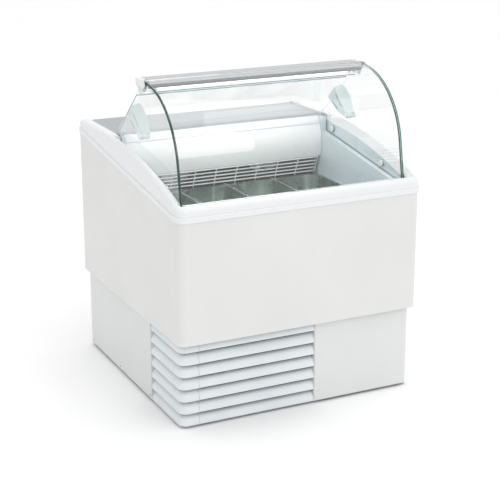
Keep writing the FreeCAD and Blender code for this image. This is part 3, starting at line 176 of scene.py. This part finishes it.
# %% material helpers
def add(tree, kind, values=(), links=(), **settings):
    """Adds one shader node: settings are its fields, values its socket values, links what feeds its sockets."""
    made = tree.nodes.new(kind)
    for field, value in settings.items():
        setattr(made, field, value)
    for socket, value in dict(values).items():
        made.inputs[socket].default_value = value
    for socket, source in dict(links).items():
        tree.links.new(source, made.inputs[socket])
    return made


def start_finish(name, **sockets):
    """A new material with its shader's even values set; names use _ where a socket has a space."""
    material = bpy.data.materials.new(name)
    material.use_nodes = True
    tree = material.node_tree
    shader = tree.nodes["Principled BSDF"]
    for socket, value in sockets.items():
        shader.inputs[socket.replace("_", " ")].default_value = value
    where = add(tree, "ShaderNodeTexCoord").outputs["Object"]
    return material, tree, shader, where


def grain(tree, where, size, stretch=(1, 1, 1), detail=2.0):
    """Noise whose features are about size metres across, drawn out along any axis whose stretch is over one."""
    scale = [1 / (size * s) for s in stretch]
    placed = add(tree, "ShaderNodeMapping", {"Scale": scale}, {"Vector": where})
    noise = add(tree, "ShaderNodeTexNoise", {"Scale": 1.0, "Detail": detail}, {"Vector": placed.outputs[0]})
    return noise.outputs["Factor"] if "Factor" in noise.outputs else noise.outputs["Fac"]


def spread(tree, source, low, high):
    """Maps noise, which stays near its middle, onto a range."""
    values = {"From Min": 0.3, "From Max": 0.7, "To Min": low, "To Max": high}
    return add(tree, "ShaderNodeMapRange", values, {"Value": source}).outputs["Result"]


def tone(tree, shader, source, dark, light):
    """Base colour that wanders between two close hex colours."""
    colours = {"A": linear(dark), "B": linear(light)}
    mix = add(tree, "ShaderNodeMix", data_type="RGBA")
    for socket in mix.inputs:
        if socket.type == "RGBA" and socket.name in colours:
            socket.default_value = colours[socket.name]
    tree.links.new(source, mix.inputs["Factor"])
    result = [socket for socket in mix.outputs if socket.type == "RGBA"][0]
    tree.links.new(result, shader.inputs["Base Color"])


def relief(tree, shader, source, height, strength=1.0):
    """Bump of the given height in metres."""
    bump = add(tree, "ShaderNodeBump", {"Strength": strength, "Distance": height}, {"Height": source})
    tree.links.new(bump.outputs["Normal"], shader.inputs["Normal"])


# %% [markdown]
# The cabinet's skin is sheet steel with a baked powder coat. Powder melts into a film with a faint
# orange peel, about 2 mm from bump to bump; here it is drawn at 5 mm, since finer would vanish. It is
# white with a hint of warmth, and glossy enough to show a soft sheen.

# %% powder-coated steel
def powder_coat(name, dark, light, roughness):
    material, tree, shader, where = start_finish(name, IOR=1.5, Coat_Weight=0.15, Coat_Roughness=0.2)
    tone(tree, shader, spread(tree, grain(tree, where, 0.35), 0.0, 1.0), dark, light)
    peel = grain(tree, where, 5 * MM)
    relief(tree, shader, peel, 0.00006, 0.5)
    rough = spread(tree, grain(tree, where, 0.12), roughness - 0.04, roughness + 0.04)
    tree.links.new(rough, shader.inputs["Roughness"])
    return material


white_coat = powder_coat("powder_coated_steel_white", "D1D1D0", "D5D5D4", 0.38)
plinth_coat = powder_coat("powder_coated_steel_plinth", "CFD1D0", "D3D5D4", 0.42)

# %% [markdown]
# The rim, wings and grille are vacuum-formed or moulded ABS: brighter than the paint, smooth, with a
# slow waviness where the hot sheet was drawn over its tool.

# %% moulded abs
def moulded(name, dark, light, roughness, ripple=0.00015, ripple_size=0.06):
    material, tree, shader, where = start_finish(name, IOR=1.54)
    tone(tree, shader, spread(tree, grain(tree, where, 0.2), 0.0, 1.0), dark, light)
    relief(tree, shader, grain(tree, where, ripple_size, detail=1.0), ripple, 0.6)
    rough = spread(tree, grain(tree, where, 0.05), roughness - 0.03, roughness + 0.05)
    tree.links.new(rough, shader.inputs["Roughness"])
    return material


white_abs = moulded("moulded_abs_white", "D9DBDC", "DDDFE0", 0.22)
louvre_abs = moulded("moulded_abs_louvre", "D0D6D9", "D9DEE0", 0.34, 0.00008, 0.03)
cover_abs = moulded("moulded_abs_cover", "E3E5E4", "E8EAE9", 0.3)
# The liner's blue-grey is partly painted shade: it stands for the shade and bluish cast in the well under the
# glass.
liner_with_painted_shade = moulded("gloss_liner_painted_shade", "C3D0D6", "CDD9DE", 0.14, 0.00001, 0.2)
bracket_abs = moulded("moulded_abs_brackets", "BECCCB", "C7D4D3", 0.3)
key_abs = moulded("moulded_abs_grey_keys", "565B60", "62676C", 0.45, 0.00004, 0.004)

# %% [markdown]
# The top frame is one moulding: white outside, and a cool pale grey on everything between the wings.
# That grey is painted shade for the darker well under the glass, not a colour of the plastic. The change
# follows the moulding's own corners, so it is set by place: nearer the middle than the wings' inner faces, and
# behind the front rim.

# %% top frame with painted shade
WING_INNER_FACE = 432.4 * MM
RIM_INNER_EDGE = -404.0 * MM


def frame_with_painted_shade(name, outer, inner, roughness):
    """Moulded plastic whose colour changes to the inner one, a painted shade, where |x| and y pass the two
    limits.
    """
    material, tree, shader, where = start_finish(name, IOR=1.54)
    place = add(tree, "ShaderNodeSeparateXYZ", links={"Vector": where})
    out = add(tree, "ShaderNodeMath", links={0: place.outputs["X"]}, operation="ABSOLUTE")
    near = add(tree, "ShaderNodeMath", {1: WING_INNER_FACE}, {0: out.outputs[0]}, operation="LESS_THAN")
    behind = add(tree, "ShaderNodeMath", {1: RIM_INNER_EDGE}, {0: place.outputs["Y"]},
                 operation="GREATER_THAN")
    shaded_inside = add(tree, "ShaderNodeMath", links={0: near.outputs[0], 1: behind.outputs[0]},
               operation="MULTIPLY")
    tone(tree, shader, shaded_inside.outputs[0], outer, inner)
    tree.links.new(spread(tree, grain(tree, where, 0.2), roughness - 0.03, roughness + 0.05),
                   shader.inputs["Roughness"])
    return material


# The inner colour CBD8DC is painted shade: the well under the glass is drawn greyer and bluer than the white
# rim.
frame_abs = frame_with_painted_shade("moulded_abs_top_frame_painted_shade", "DADCDD", "CBD8DC", 0.24)

# %% [markdown]
# Two sheets of stainless steel are here, and their polish sets them apart: the worktop is brushed along
# its length, and the pans are deep-drawn with a satin wall.
# Brushing is noise drawn out a hundredfold along one axis, felt in the gloss and as a fine relief.

# %% brushed and drawn metal
def brushed_metal(name, dark, light, roughness, stretch, line=1.6 * MM, depth=0.00003):
    material, tree, shader, where = start_finish(name, Metallic=1.0)
    lines = grain(tree, where, line, stretch, 3.0)
    tone(tree, shader, spread(tree, lines, 0.0, 1.0), dark, light)
    tree.links.new(spread(tree, lines, roughness - 0.06, roughness + 0.08), shader.inputs["Roughness"])
    relief(tree, shader, lines, depth, 0.4)
    return material


LENGTHWISE = (120, 1, 1)
EVEN = (1, 1, 1)
worktop_steel = brushed_metal("stainless_brushed_worktop", "9FA6AA", "AEB5B9", 0.34, LENGTHWISE)
pan_steel = brushed_metal("stainless_drawn_pan", "C6D1CB", "CBD5CF", 0.25, EVEN, 90 * MM, 0.0)

# %% [markdown]
# Toughened glass is clear face on, but a long way through it turns deep green, from iron in the sand.
# That is absorption, so it is set inside the volume: 6 mm hardly tints, half a metre is bottle green.
# The ground edges gather that light, and they get a finish of their own further on. The specular level
# is set lower than bare glass has, which keeps reflections faint and the goods behind in sight.

# %% glass and clear plastic
def clear_sheet(name, tint, density, ior, gloss):
    material, tree, shader, where = start_finish(name, Transmission_Weight=1.0, IOR=ior,
                                                 Specular_IOR_Level=gloss, Base_Color=linear("FFFFFF"))
    smear = spread(tree, grain(tree, where, 0.08), 0.0, 0.015)
    tree.links.new(smear, shader.inputs["Roughness"])
    body = add(tree, "ShaderNodeVolumeAbsorption", {"Color": linear(tint), "Density": density})
    tree.links.new(body.outputs["Volume"], tree.nodes["Material Output"].inputs["Volume"])
    return material


toughened_glass = clear_sheet("toughened_float_glass", "BFE6DC", 3.0, 1.52, 0.18)
bent_glass = clear_sheet("bent_toughened_glass", "BFE6DC", 3.0, 1.52, 0.05)
clear_acrylic = clear_sheet("clear_acrylic_sheet", "D6ECEC", 3.0, 1.49, 0.3)


def deepen_sides(material, half_width, band, colour):
    """Tints what passes within band of a bent sheet's two sides, where the light turns inside the glass."""
    tree = material.node_tree
    where = add(tree, "ShaderNodeTexCoord").outputs["Object"]
    place = add(tree, "ShaderNodeSeparateXYZ", links={"Vector": where})
    out = add(tree, "ShaderNodeMath", links={0: place.outputs["X"]}, operation="ABSOLUTE")
    near = add(tree, "ShaderNodeMath", {1: half_width - band}, {0: out.outputs[0]},
               operation="GREATER_THAN")
    tone(tree, tree.nodes["Principled BSDF"], near.outputs[0], "FFFFFF", colour)


deepen_sides(bent_glass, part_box("front_glass")[1].x, 3.0 * MM, "1F6B5E")


def edge_finish(name, dark, light):
    """A ground and polished rim: deep green, glossy, with the light travelling along it uneven."""
    material, tree, shader, where = start_finish(name, IOR=1.52, Roughness=0.35, Specular_IOR_Level=0.2)
    tone(tree, shader, spread(tree, grain(tree, where, 0.05), 0.0, 1.0), dark, light)
    return material


glass_edge = edge_finish("polished_glass_edge", "02201C", "0A463C")
acrylic_edge = edge_finish("polished_acrylic_edge", "2F565C", "6F9297")

# %% [markdown]
# The rest is the machine: anodised aluminium for the rail, plain aluminium fins, galvanised sheet with
# its frosty spangle, copper tube, black enamel on the compressor, rubber under the feet and foam in
# the walls. Little of it shows from outside, but it is all there behind the grilles and under the lid.

# %% metals of the machine
def spangled_zinc(name):
    """Hot-dip galvanised sheet: crystals about 8 mm across, each a slightly different grey."""
    material, tree, shader, where = start_finish(name, Metallic=1.0)
    cells = add(tree, "ShaderNodeTexVoronoi", {"Scale": 1 / (8 * MM)}, {"Vector": where})
    split = add(tree, "ShaderNodeSeparateColor", links={"Color": cells.outputs["Color"]})
    tone(tree, shader, split.outputs[0], "9BA0A2", "B7BBBD")
    rough = add(tree, "ShaderNodeMapRange", {"To Min": 0.35, "To Max": 0.55}, {"Value": split.outputs[0]})
    tree.links.new(rough.outputs["Result"], shader.inputs["Roughness"])
    return material


def tarnished(name, dark, light, roughness, size, metallic=1.0):
    """A surface whose colour and gloss wander in patches of the given size, as handled metal and rubber do."""
    material, tree, shader, where = start_finish(name, Metallic=metallic)
    patches = grain(tree, where, size, detail=4.0)
    tone(tree, shader, spread(tree, patches, 0.0, 1.0), dark, light)
    tree.links.new(spread(tree, patches, roughness - 0.05, roughness + 0.1), shader.inputs["Roughness"])
    relief(tree, shader, grain(tree, where, 2.5 * MM), 0.00004, 0.4)
    return material


DIE_LINES = (150, 1, 1)
anodised = brushed_metal("anodised_aluminium_extruded", "B9BEC1", "C6CACC", 0.38, DIE_LINES,
                         1.2 * MM, 0.00002)
zinc = spangled_zinc("galvanised_sheet")
fin_aluminium = tarnished("rolled_aluminium_fins", "A9ADAF", "C2C5C7", 0.35, 0.03)
copper = tarnished("drawn_copper_tube", "9C5B3B", "C27E58", 0.30, 0.02)
screw_zinc = tarnished("zinc_plated_screws", "A5A9AB", "C4C7C9", 0.30, 0.004)
black_enamel = tarnished("black_enamelled_steel", "0B0B0C", "17181A", 0.28, 0.04, 0.0)
black_plastic = tarnished("moulded_black_plastic", "15161A", "222428", 0.45, 0.01, 0.0)
# Near-black painted shade for the plate and coil behind the air grille, which sit only in shade there.
shade_black_sheet = tarnished("painted_shade_black_sheet", "030404", "070909", 0.8, 0.05, 0.0)
rubber = tarnished("moulded_rubber_feet", "121314", "1D1E20", 0.7, 0.01, 0.0)
foam = tarnished("foamed_polyurethane", "CDBD86", "E2D6A6", 0.85, 0.006, 0.0)
silicone = tarnished("translucent_silicone", "C9D3D3", "DCE3E3", 0.4, 0.02, 0.0)
lamp_glass = tarnished("opal_lamp_glass", "EDF0F1", "F6F8F8", 0.15, 0.03, 0.0)
LAMP_GLOW = 1.5
lamp_shader = lamp_glass.node_tree.nodes["Principled BSDF"]
lamp_shader.inputs["Emission Color"].default_value = linear("F6FAFF")
lamp_shader.inputs["Emission Strength"].default_value = LAMP_GLOW

# %% [markdown]
# Now each part of the model takes its finish. The list is by part, not by slot, because a few parts
# that share a slot look different: the plinth's paint is a shade greyer than the tub's, and the plate
# and coil behind the air grille are near-black, which is painted shade that keeps the gaps between the bars
# dark.

# %% dress the model
DRESS = {
    white_coat: "outer_skin rear_skin",
    plinth_coat: "panel_left_rear panel_front_right panel_right panel_rear",
    frame_abs: "top_frame",
    white_abs: "worktop_nosing air_grille side_glass_bolts canopy_pivot_pins flap_pivot_pins "
               "rail_end_caps lamp_holders evaporator_fan_left evaporator_fan_right",
    cover_abs: "evaporator_cover",
    louvre_abs: "louvre_front_slats louvre_side_slats louvre_corner_slats louvre_brackets",
    key_abs: "light_switch button_set button_up button_down",
    worktop_steel: "worktop_panel",
    pan_steel: "pan_1 pan_2 pan_3 pan_4",
    bracket_abs: "flap_brackets",
    liner_with_painted_shade: "inner_liner return_duct pan_support_bars",
    toughened_glass: "side_glass_left side_glass_right",
    bent_glass: "front_glass",
    clear_acrylic: "rear_flap lamp_guard",
    anodised: "top_rail",
    zinc: "base_frame fan_shroud bottom_skin",
    fin_aluminium: "condenser_coil condenser_fan",
    copper: "refrigerant_pipes",
    black_enamel: "compressor",
    shade_black_sheet: "evaporator_fan_plate evaporator_coil",
    black_plastic: "power_inlet terminal_cover condenser_fan_motor drip_tray evaporator_fan_motors "
                   "drain_pipe control_panel",
    rubber: "levelling_feet",
    foam: "foam",
    silicone: "glass_seat_strip",
    lamp_glass: "lamp_tube",
}
for finish, names in DRESS.items():
    for node_name in names.split():
        for place in nodes[node_name].material_slots:
            place.material = finish
for node_name in " ".join(DRESS[g] for g in (toughened_glass, bent_glass, clear_acrylic)).split():
    nodes[node_name].visible_shadow = False
    nodes[node_name].visible_diffuse = False
dressed = {n for names in DRESS.values() for n in names.split()}
print("dressed", len(dressed), "left", sorted(set(nodes) - dressed))

# %% [markdown]
# The rim of a glass sheet is ground and polished after cutting, and it looks dark green from any
# side. Each rim here is a skin over the sheet's narrow faces, lifted by 0.15 mm. The
# narrow faces are found by their normals: on a flat side glass they are the ones that don't face
# sideways, and on the bent front glass the ones that do, with the foot.

# %% polished rims
RIM_LIFT = 0.15 * MM
RIM_CREASE = 30      # degrees: sharper corners than this stay crisp


def triangles_of(node_name):
    """A node's triangles as corner places, n by 3 by 3, and their unit normals, n by 3."""
    mesh = nodes[node_name].data
    places = np.zeros(len(mesh.vertices) * 3)
    mesh.vertices.foreach_get("co", places)
    corner = np.zeros(len(mesh.loops), np.int32)
    mesh.loops.foreach_get("vertex_index", corner)
    normals = np.zeros(len(mesh.polygons) * 3)
    mesh.polygons.foreach_get("normal", normals)
    return places.reshape(-1, 3)[corner.reshape(-1, 3)], normals.reshape(-1, 3)


def rim_skin(node_name, pick, body, finish, slot):
    """Copies the faces whose unit normals pick() accepts, each moved out along its normal."""
    triangles, normals = triangles_of(node_name)
    kept = pick(normals)
    points = (triangles[kept] + normals[kept][:, None, :] * RIM_LIFT).reshape(-1, 3)
    faces = np.arange(len(points)).reshape(-1, 3)
    piece(node_name + "_rim", points, faces, body, slot, finish, RIM_CREASE)


for side in ("left", "right"):
    rim_skin("side_glass_" + side, lambda n: abs(n[:, 0]) < 0.5, "cabinet", glass_edge, "toughened_glass")
rim_skin("front_glass", lambda n: (abs(n[:, 0]) > 0.5) | (n[:, 2] < -0.995),
         "canopy", glass_edge, "toughened_glass")
rim_skin("rear_flap", lambda n: (abs(n[:, 0]) > 0.5) | (abs(n[:, 1]) > 0.7),
         "flap", acrylic_edge, "clear_acrylic")

# %% [markdown]
# The side glasses stand on the ledges with a bead of sealant squeezed along their inner face, which
# reads as a thin dark line from the worktop's step down to the front. The bead is a tube swept along
# the sheet's lower edge, and that edge is read from the model: it is every corner of a long face that
# looks down, put in order from front to back. The short faces are the walls of the bolt holes.

# %% sealant beads, and the rail's gasket with painted shade
BEAD_RADIUS = 0.9 * MM
BEAD_INSET = 0.6 * MM
HOLE_FACE = 15 * MM       # the faces round a bolt hole are shorter than this
STRIP_POINTS = 24


def tube(path, radius, sides=10):
    """A round tube: at each point of the path a circle stands square to the path's direction there."""
    path = np.asarray(path, float)
    ahead = np.gradient(path, axis=0)
    ahead /= np.linalg.norm(ahead, axis=1, keepdims=True)
    least = np.eye(3)[np.argmin(np.abs(ahead).sum(axis=0))]
    across = np.cross(ahead, least)
    across /= np.linalg.norm(across, axis=1, keepdims=True)
    up = np.cross(across, ahead)
    angle = np.linspace(0, 2 * np.pi, sides, endpoint=False)[None, :, None]
    rings = path[:, None] + radius * (np.cos(angle) * across[:, None] + np.sin(angle) * up[:, None])
    rings = np.concatenate([np.repeat(path[:1, None], sides, 1), rings, np.repeat(path[-1:, None], sides, 1)])
    return rings.reshape(-1, 3), grid_faces(len(rings), sides)


def lower_edge(node_name):
    """The (y, z) corners of a flat sheet's lower edge, from front to back."""
    triangles, normals = triangles_of(node_name)
    reach = np.linalg.norm(triangles - np.roll(triangles, 1, axis=1), axis=2).max(axis=1)
    kept = (normals[:, 2] < -0.05) & (abs(normals[:, 0]) < 0.5) & (reach > HOLE_FACE)
    return np.unique(np.round(triangles[kept].reshape(-1, 3)[:, 1:], 5), axis=0)


def long_tube(low, high, y, z, radius):
    """A round strip across the cabinet at the given depth and height, two millimetres short at each end."""
    x = np.linspace(low.x + 2 * MM, high.x - 2 * MM, STRIP_POINTS)
    return tube(np.column_stack([x, np.full(STRIP_POINTS, y), np.full(STRIP_POINTS, z)]), radius, 14)


inner_face = {"left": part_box("side_glass_left")[1].x, "right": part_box("side_glass_right")[0].x}
beads = []
for side, x in inner_face.items():
    edge = lower_edge("side_glass_" + side) + [0, BEAD_INSET]
    across = np.full(len(edge), x - math.copysign(BEAD_INSET, x))
    beads.append(tube(np.column_stack([across, edge]), BEAD_RADIUS))
dark_sealant = tarnished("dark_silicone_sealant", "1F5A55", "2C6B66", 0.35, 0.03, 0.0)
piece("side_glass_sealant", *joined(beads), "cabinet", "silicone", dark_sealant)

rail_low, rail_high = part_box("top_rail")
guard_low, guard_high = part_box("lamp_guard")
flap_low, flap_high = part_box("rear_flap")
# The black strip under the rail is partly a rubber gasket and partly painted shade. It is drawn thick and dark
# so that it also stands for the shaded gap between rail and glass.
gasket_and_shade_black = tarnished("black_gasket_and_painted_shade", "061416", "0A1D20", 0.7, 0.02, 0.0)
under_rail = long_tube(rail_low, rail_high, rail_low.y + 1.0 * MM, rail_low.z - 2.5 * MM, 5.5 * MM)
under_guard = long_tube(guard_low, guard_high, guard_low.y + 2.0 * MM, guard_low.z + 0.6 * MM, 1.2 * MM)
piece("rail_gasket_and_shade", *joined([under_rail, under_guard]), "canopy", "black_plastic", gasket_and_shade_black)
foot_seal = long_tube(flap_low, flap_high, flap_high.y - 1.5 * MM, flap_low.z + 1.2 * MM, 1.6 * MM)
piece("flap_foot_seal", *foot_seal, "flap", "silicone", dark_sealant)

# %% [markdown]
# Each slat of the louvre but the lowest has a dark strip under its lip. It is painted shadow: it draws the
# shaded gap between two slats as a dark line. The strips are straight tubes at the slats' spacing, counted up
# from the foot of the louvre, whose box is read from the model.

# %% louvre shadow strips
SLAT_SPACING = 45 * MM
SLATS = 7
SHADOW_STRIP_RADIUS = 1.9 * MM
SHADOW_STRIP_BACK = 2.6 * MM      # behind the slats' foremost line
SHADOW_STRIP_DROP = 1.2 * MM      # below each slat's foot
low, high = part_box("louvre_front_slats")
shadow_strip_x = np.linspace(low.x + 1 * MM, high.x - 1 * MM, 12)
shadow_strips = [tube([(x, low.y + SHADOW_STRIP_BACK, low.z - SHADOW_STRIP_DROP + i * SLAT_SPACING) for x in shadow_strip_x], SHADOW_STRIP_RADIUS)
          for i in range(1, SLATS)]
# A dark finish that paints the shadow under each slat's lip.
shadow_strip_finish = tarnished("painted_shadow_strip", "1F2E35", "2B3B42", 0.9, 0.004, 0.0)
piece("louvre_shadow_strips", *joined(shadow_strips), "cabinet", "foot_rubber", shadow_strip_finish)

# %% [markdown]
# Turned and pressed things are a profile carried round a circle. A pan-head screw is one: a domed disc
# whose grid of rings and spokes dips along two crossing lines, where the driver bites. A sealing ring is
# a small circle carried round a large one.

# %% screws and rings
DOME = 0.45                  # these four are in radii of the screw's head
CROSS_HALF_WIDTH = 0.13
CROSS_REACH = 0.6
CROSS_DEPTH = 0.22


def framed(points, centre, direction):
    """Turns points made round +Z so that +Z lies along direction, and moves them to centre."""
    along = np.asarray(direction, float) / np.linalg.norm(direction)
    side = np.cross(along, np.eye(3)[np.argmin(np.abs(along))])
    side /= np.linalg.norm(side)
    return points @ np.stack([side, np.cross(along, side), along]) + np.asarray(centre, float)


def screw_head(centre, direction, radius, rings=9, spokes=40):
    """Height over radius r and angle a, in radii: DOME (sqrt(1 - 0.93 r^2) - sqrt(0.07)), less a cross cut."""
    turn = np.linspace(0, 2 * np.pi, spokes, endpoint=False)
    r, a = np.meshgrid(np.linspace(0, 1, rings), turn, indexing="ij")
    dome = DOME * np.sqrt(np.clip(1 - 0.93 * r ** 2, 0, 1)) - DOME * np.sqrt(0.07)
    arm = np.minimum(np.abs(r * np.sin(a)), np.abs(r * np.cos(a)))
    cross = (arm < CROSS_HALF_WIDTH) & (r < CROSS_REACH)
    height = np.where(cross, dome - CROSS_DEPTH, dome)
    points = np.stack([r * np.cos(a), r * np.sin(a), height], axis=-1).reshape(-1, 3) * radius
    return framed(points, centre, direction), grid_faces(rings, spokes)


def ring(centre, direction, radius, thickness, around=36, sides=10):
    """A torus: the point at angles a and b is (R + t cos b) out along a, and t sin b up."""
    section = np.linspace(0, 2 * np.pi, sides, endpoint=False)
    a, b = np.meshgrid(np.linspace(0, 2 * np.pi, around + 1), section, indexing="ij")
    out = radius + thickness * np.cos(b)
    points = np.stack([out * np.cos(a), out * np.sin(a), thickness * np.sin(b)], axis=-1).reshape(-1, 3)
    return framed(points, centre, direction), grid_faces(around + 1, sides)


def along_edges(low, high, inset, across, down):
    """Places round a panel, inset from its edges: across along the top and bottom, down at the sides."""
    u = np.linspace(low[0] + inset, high[0] - inset, across)
    v = np.linspace(low[1] + inset, high[1] - inset, down)
    return [(x, z) for x in u for z in (v[0], v[-1])] + [(x, z) for x in (u[0], u[-1]) for z in v[1:-1]]


SCREW_RADIUS = 5 * MM
SMALL_SCREW_RADIUS = 2.8 * MM
SCREW_INSET = 12 * MM
SMALL_SCREW_INSET = 6 * MM
LEFT_PANEL_INSET = 14 * MM

heads = []
for node_name, radius, inset, across, down in (("panel_rear", SCREW_RADIUS, SCREW_INSET, 4, 3),
                                               ("control_panel", SMALL_SCREW_RADIUS, SMALL_SCREW_INSET, 2, 2)):
    low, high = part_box(node_name)
    heads += [screw_head((x, high.y, z), (0, 1, 0), radius)
              for x, z in along_edges((low.x, low.z), (high.x, high.z), inset, across, down)]
low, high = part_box("panel_right")
heads += [screw_head((high.x, y, z), (1, 0, 0), SCREW_RADIUS)
          for y, z in along_edges((low.y, low.z), (high.y, high.z), SCREW_INSET, 3, 2)]
low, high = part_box("panel_left_rear")
heads += [screw_head((low.x, y, low.z + SCREW_INSET), (-1, 0, 0), SCREW_RADIUS)
          for y in np.linspace(low.y + LEFT_PANEL_INSET, high.y - LEFT_PANEL_INSET, 3)]
piece("panel_screws", *joined(heads), "cabinet", "galvanised_steel", screw_zinc, sharp=35)

BOLT_PLACES = [(89.0 * MM, 872.0 * MM), (-277.0 * MM, 816.0 * MM)]
CAP_RADIUS = 12 * MM
cap_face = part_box("side_glass_right")[0].x
rings = [ring((side * (cap_face - 1.2 * MM), y, z), (1, 0, 0), CAP_RADIUS + 0.8 * MM, 1.0 * MM)
         for y, z in BOLT_PLACES for side in (1, -1)]
piece("bolt_sealing_rings", *joined(rings), "cabinet", "silicone", dark_sealant)

# %% [markdown]
# The slots in the flap's brackets are drawn as grey-green strips, darker than the brackets: painted shade
# for the insides of the slots. A strip is a bar with a rounded face, carried along the slot at the bracket's
# side.

# %% a rounded bar, and the painted shade of the brackets' slots
def bar(start, end, face, width, depth, along=40, around=16):
    """A bar from start to end: its section is a superellipse, flattened at the back, turned towards face."""
    start, end, face = (np.asarray(v, float) for v in (start, end, face))
    ahead = (end - start) / np.linalg.norm(end - start)
    side = np.cross(ahead, face)
    angle = np.linspace(0, 2 * np.pi, around, endpoint=False)
    u = np.sign(np.cos(angle)) * np.abs(np.cos(angle)) ** 0.8 * width / 2
    v = np.where(np.sin(angle) > 0, np.sin(angle) * depth, np.sin(angle) * depth * 0.25)
    section = u[:, None] * side + v[:, None] * face
    centres = start + np.linspace(0, 1, along)[:, None] * (end - start)
    rings = centres[:, None] + section[None]
    first = np.repeat(centres[:1, None], around, 1)
    last = np.repeat(centres[-1:, None], around, 1)
    rings = np.concatenate([first, rings, last])
    return rings.reshape(-1, 3), grid_faces(len(rings), around)


BRACKET_SIDES = (397.6 * MM, -420.4 * MM)
SLOT_LINES = [((21.0, 1021.0), (-25.0, 982.0)), ((49.0, 990.0), (7.0, 968.0))]     # (y, z) in millimetres
SLOT_SHADE_WIDTH = 4.6 * MM
SLOT_SHADE_DEPTH = 0.4 * MM
slot_shade_strips = [bar((x, start[0] * MM, start[1] * MM), (x, end[0] * MM, end[1] * MM), (-1, 0, 0),
               SLOT_SHADE_WIDTH, SLOT_SHADE_DEPTH, 12)
           for x in BRACKET_SIDES for start, end in SLOT_LINES]
# Grey-green painted shade for the insides of the slots.
slot_shade_finish = tarnished("painted_slot_shade", "4E6C6C", "5C7B7B", 0.7, 0.01, 0.0)
piece("bracket_slot_shade_strips", *joined(slot_shade_strips), "flap", "foot_rubber", slot_shade_finish)

# %% [markdown]
# The air grille is moulded with rounded bars, so that each catches a line of light over a dark gap.
# Each bar is a half-round section carried across the grille: its face bulges by a cosine. The bars
# follow the slope of the grille in the model, and the moulding stops a finger short of the walls.

# %% air grille
GRILLE_BARS = 6
GRILLE_UPRIGHTS = 10
BAR_WIDTH = 5.2 * MM
BAR_DEPTH = 4.0 * MM
GRILLE_GAP = 9 * MM
GRILLE_THICK = 4 * MM
TOP_MARGIN = 3 * MM
FOOT_MARGIN = 5 * MM

low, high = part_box("air_grille")
slope = np.array([0.0, high.y - low.y - GRILLE_THICK, low.z - high.z])
slope_length = np.linalg.norm(slope)
down = slope / slope_length
outward = np.array([0.0, down[2], -down[1]])
top_left = np.array([low.x + GRILLE_GAP, low.y + TOP_MARGIN, high.z - TOP_MARGIN])
top_right = np.array([high.x - GRILLE_GAP, low.y + TOP_MARGIN, high.z - TOP_MARGIN])
fall = down * (slope_length - FOOT_MARGIN)
bars = [bar(top_left + fall * t, top_right + fall * t, outward, BAR_WIDTH, BAR_DEPTH)
        for t in np.linspace(0, 1, GRILLE_BARS)]
for t in np.linspace(0, 1, GRILLE_UPRIGHTS):
    top = top_left + (top_right - top_left) * t
    bars.append(bar(top, top + fall, outward, BAR_WIDTH * 0.8, BAR_DEPTH * 0.8, 8))
grille = piece("air_grille_bars", *joined(bars), "cabinet", "white_abs", white_abs)
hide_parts("air_grille")

# %% [markdown]
# A plain pale floor finishes the set. It is part of the stage, not of the freezer.

# %% floor
floor_mesh = bpy.data.meshes.new("studio_floor")
FLOOR_REACH = 30.0
corners = [(x * FLOOR_REACH, y * FLOOR_REACH, 0) for x, y in ((-1, -1), (1, -1), (1, 1), (-1, 1))]
floor_mesh.from_pydata(corners, [], [(0, 1, 2, 3)])
floor = bpy.data.objects.new("studio_floor", floor_mesh)
bpy.context.scene.collection.objects.link(floor)
floor_paint, floor_tree, floor_shader, floor_where = start_finish("pale_studio_floor", Roughness=0.9)
tone(floor_tree, floor_shader, grain(floor_tree, floor_where, 1.5), "F6F6F6", "F9F9F9")
floor_mesh.materials.append(floor_paint)
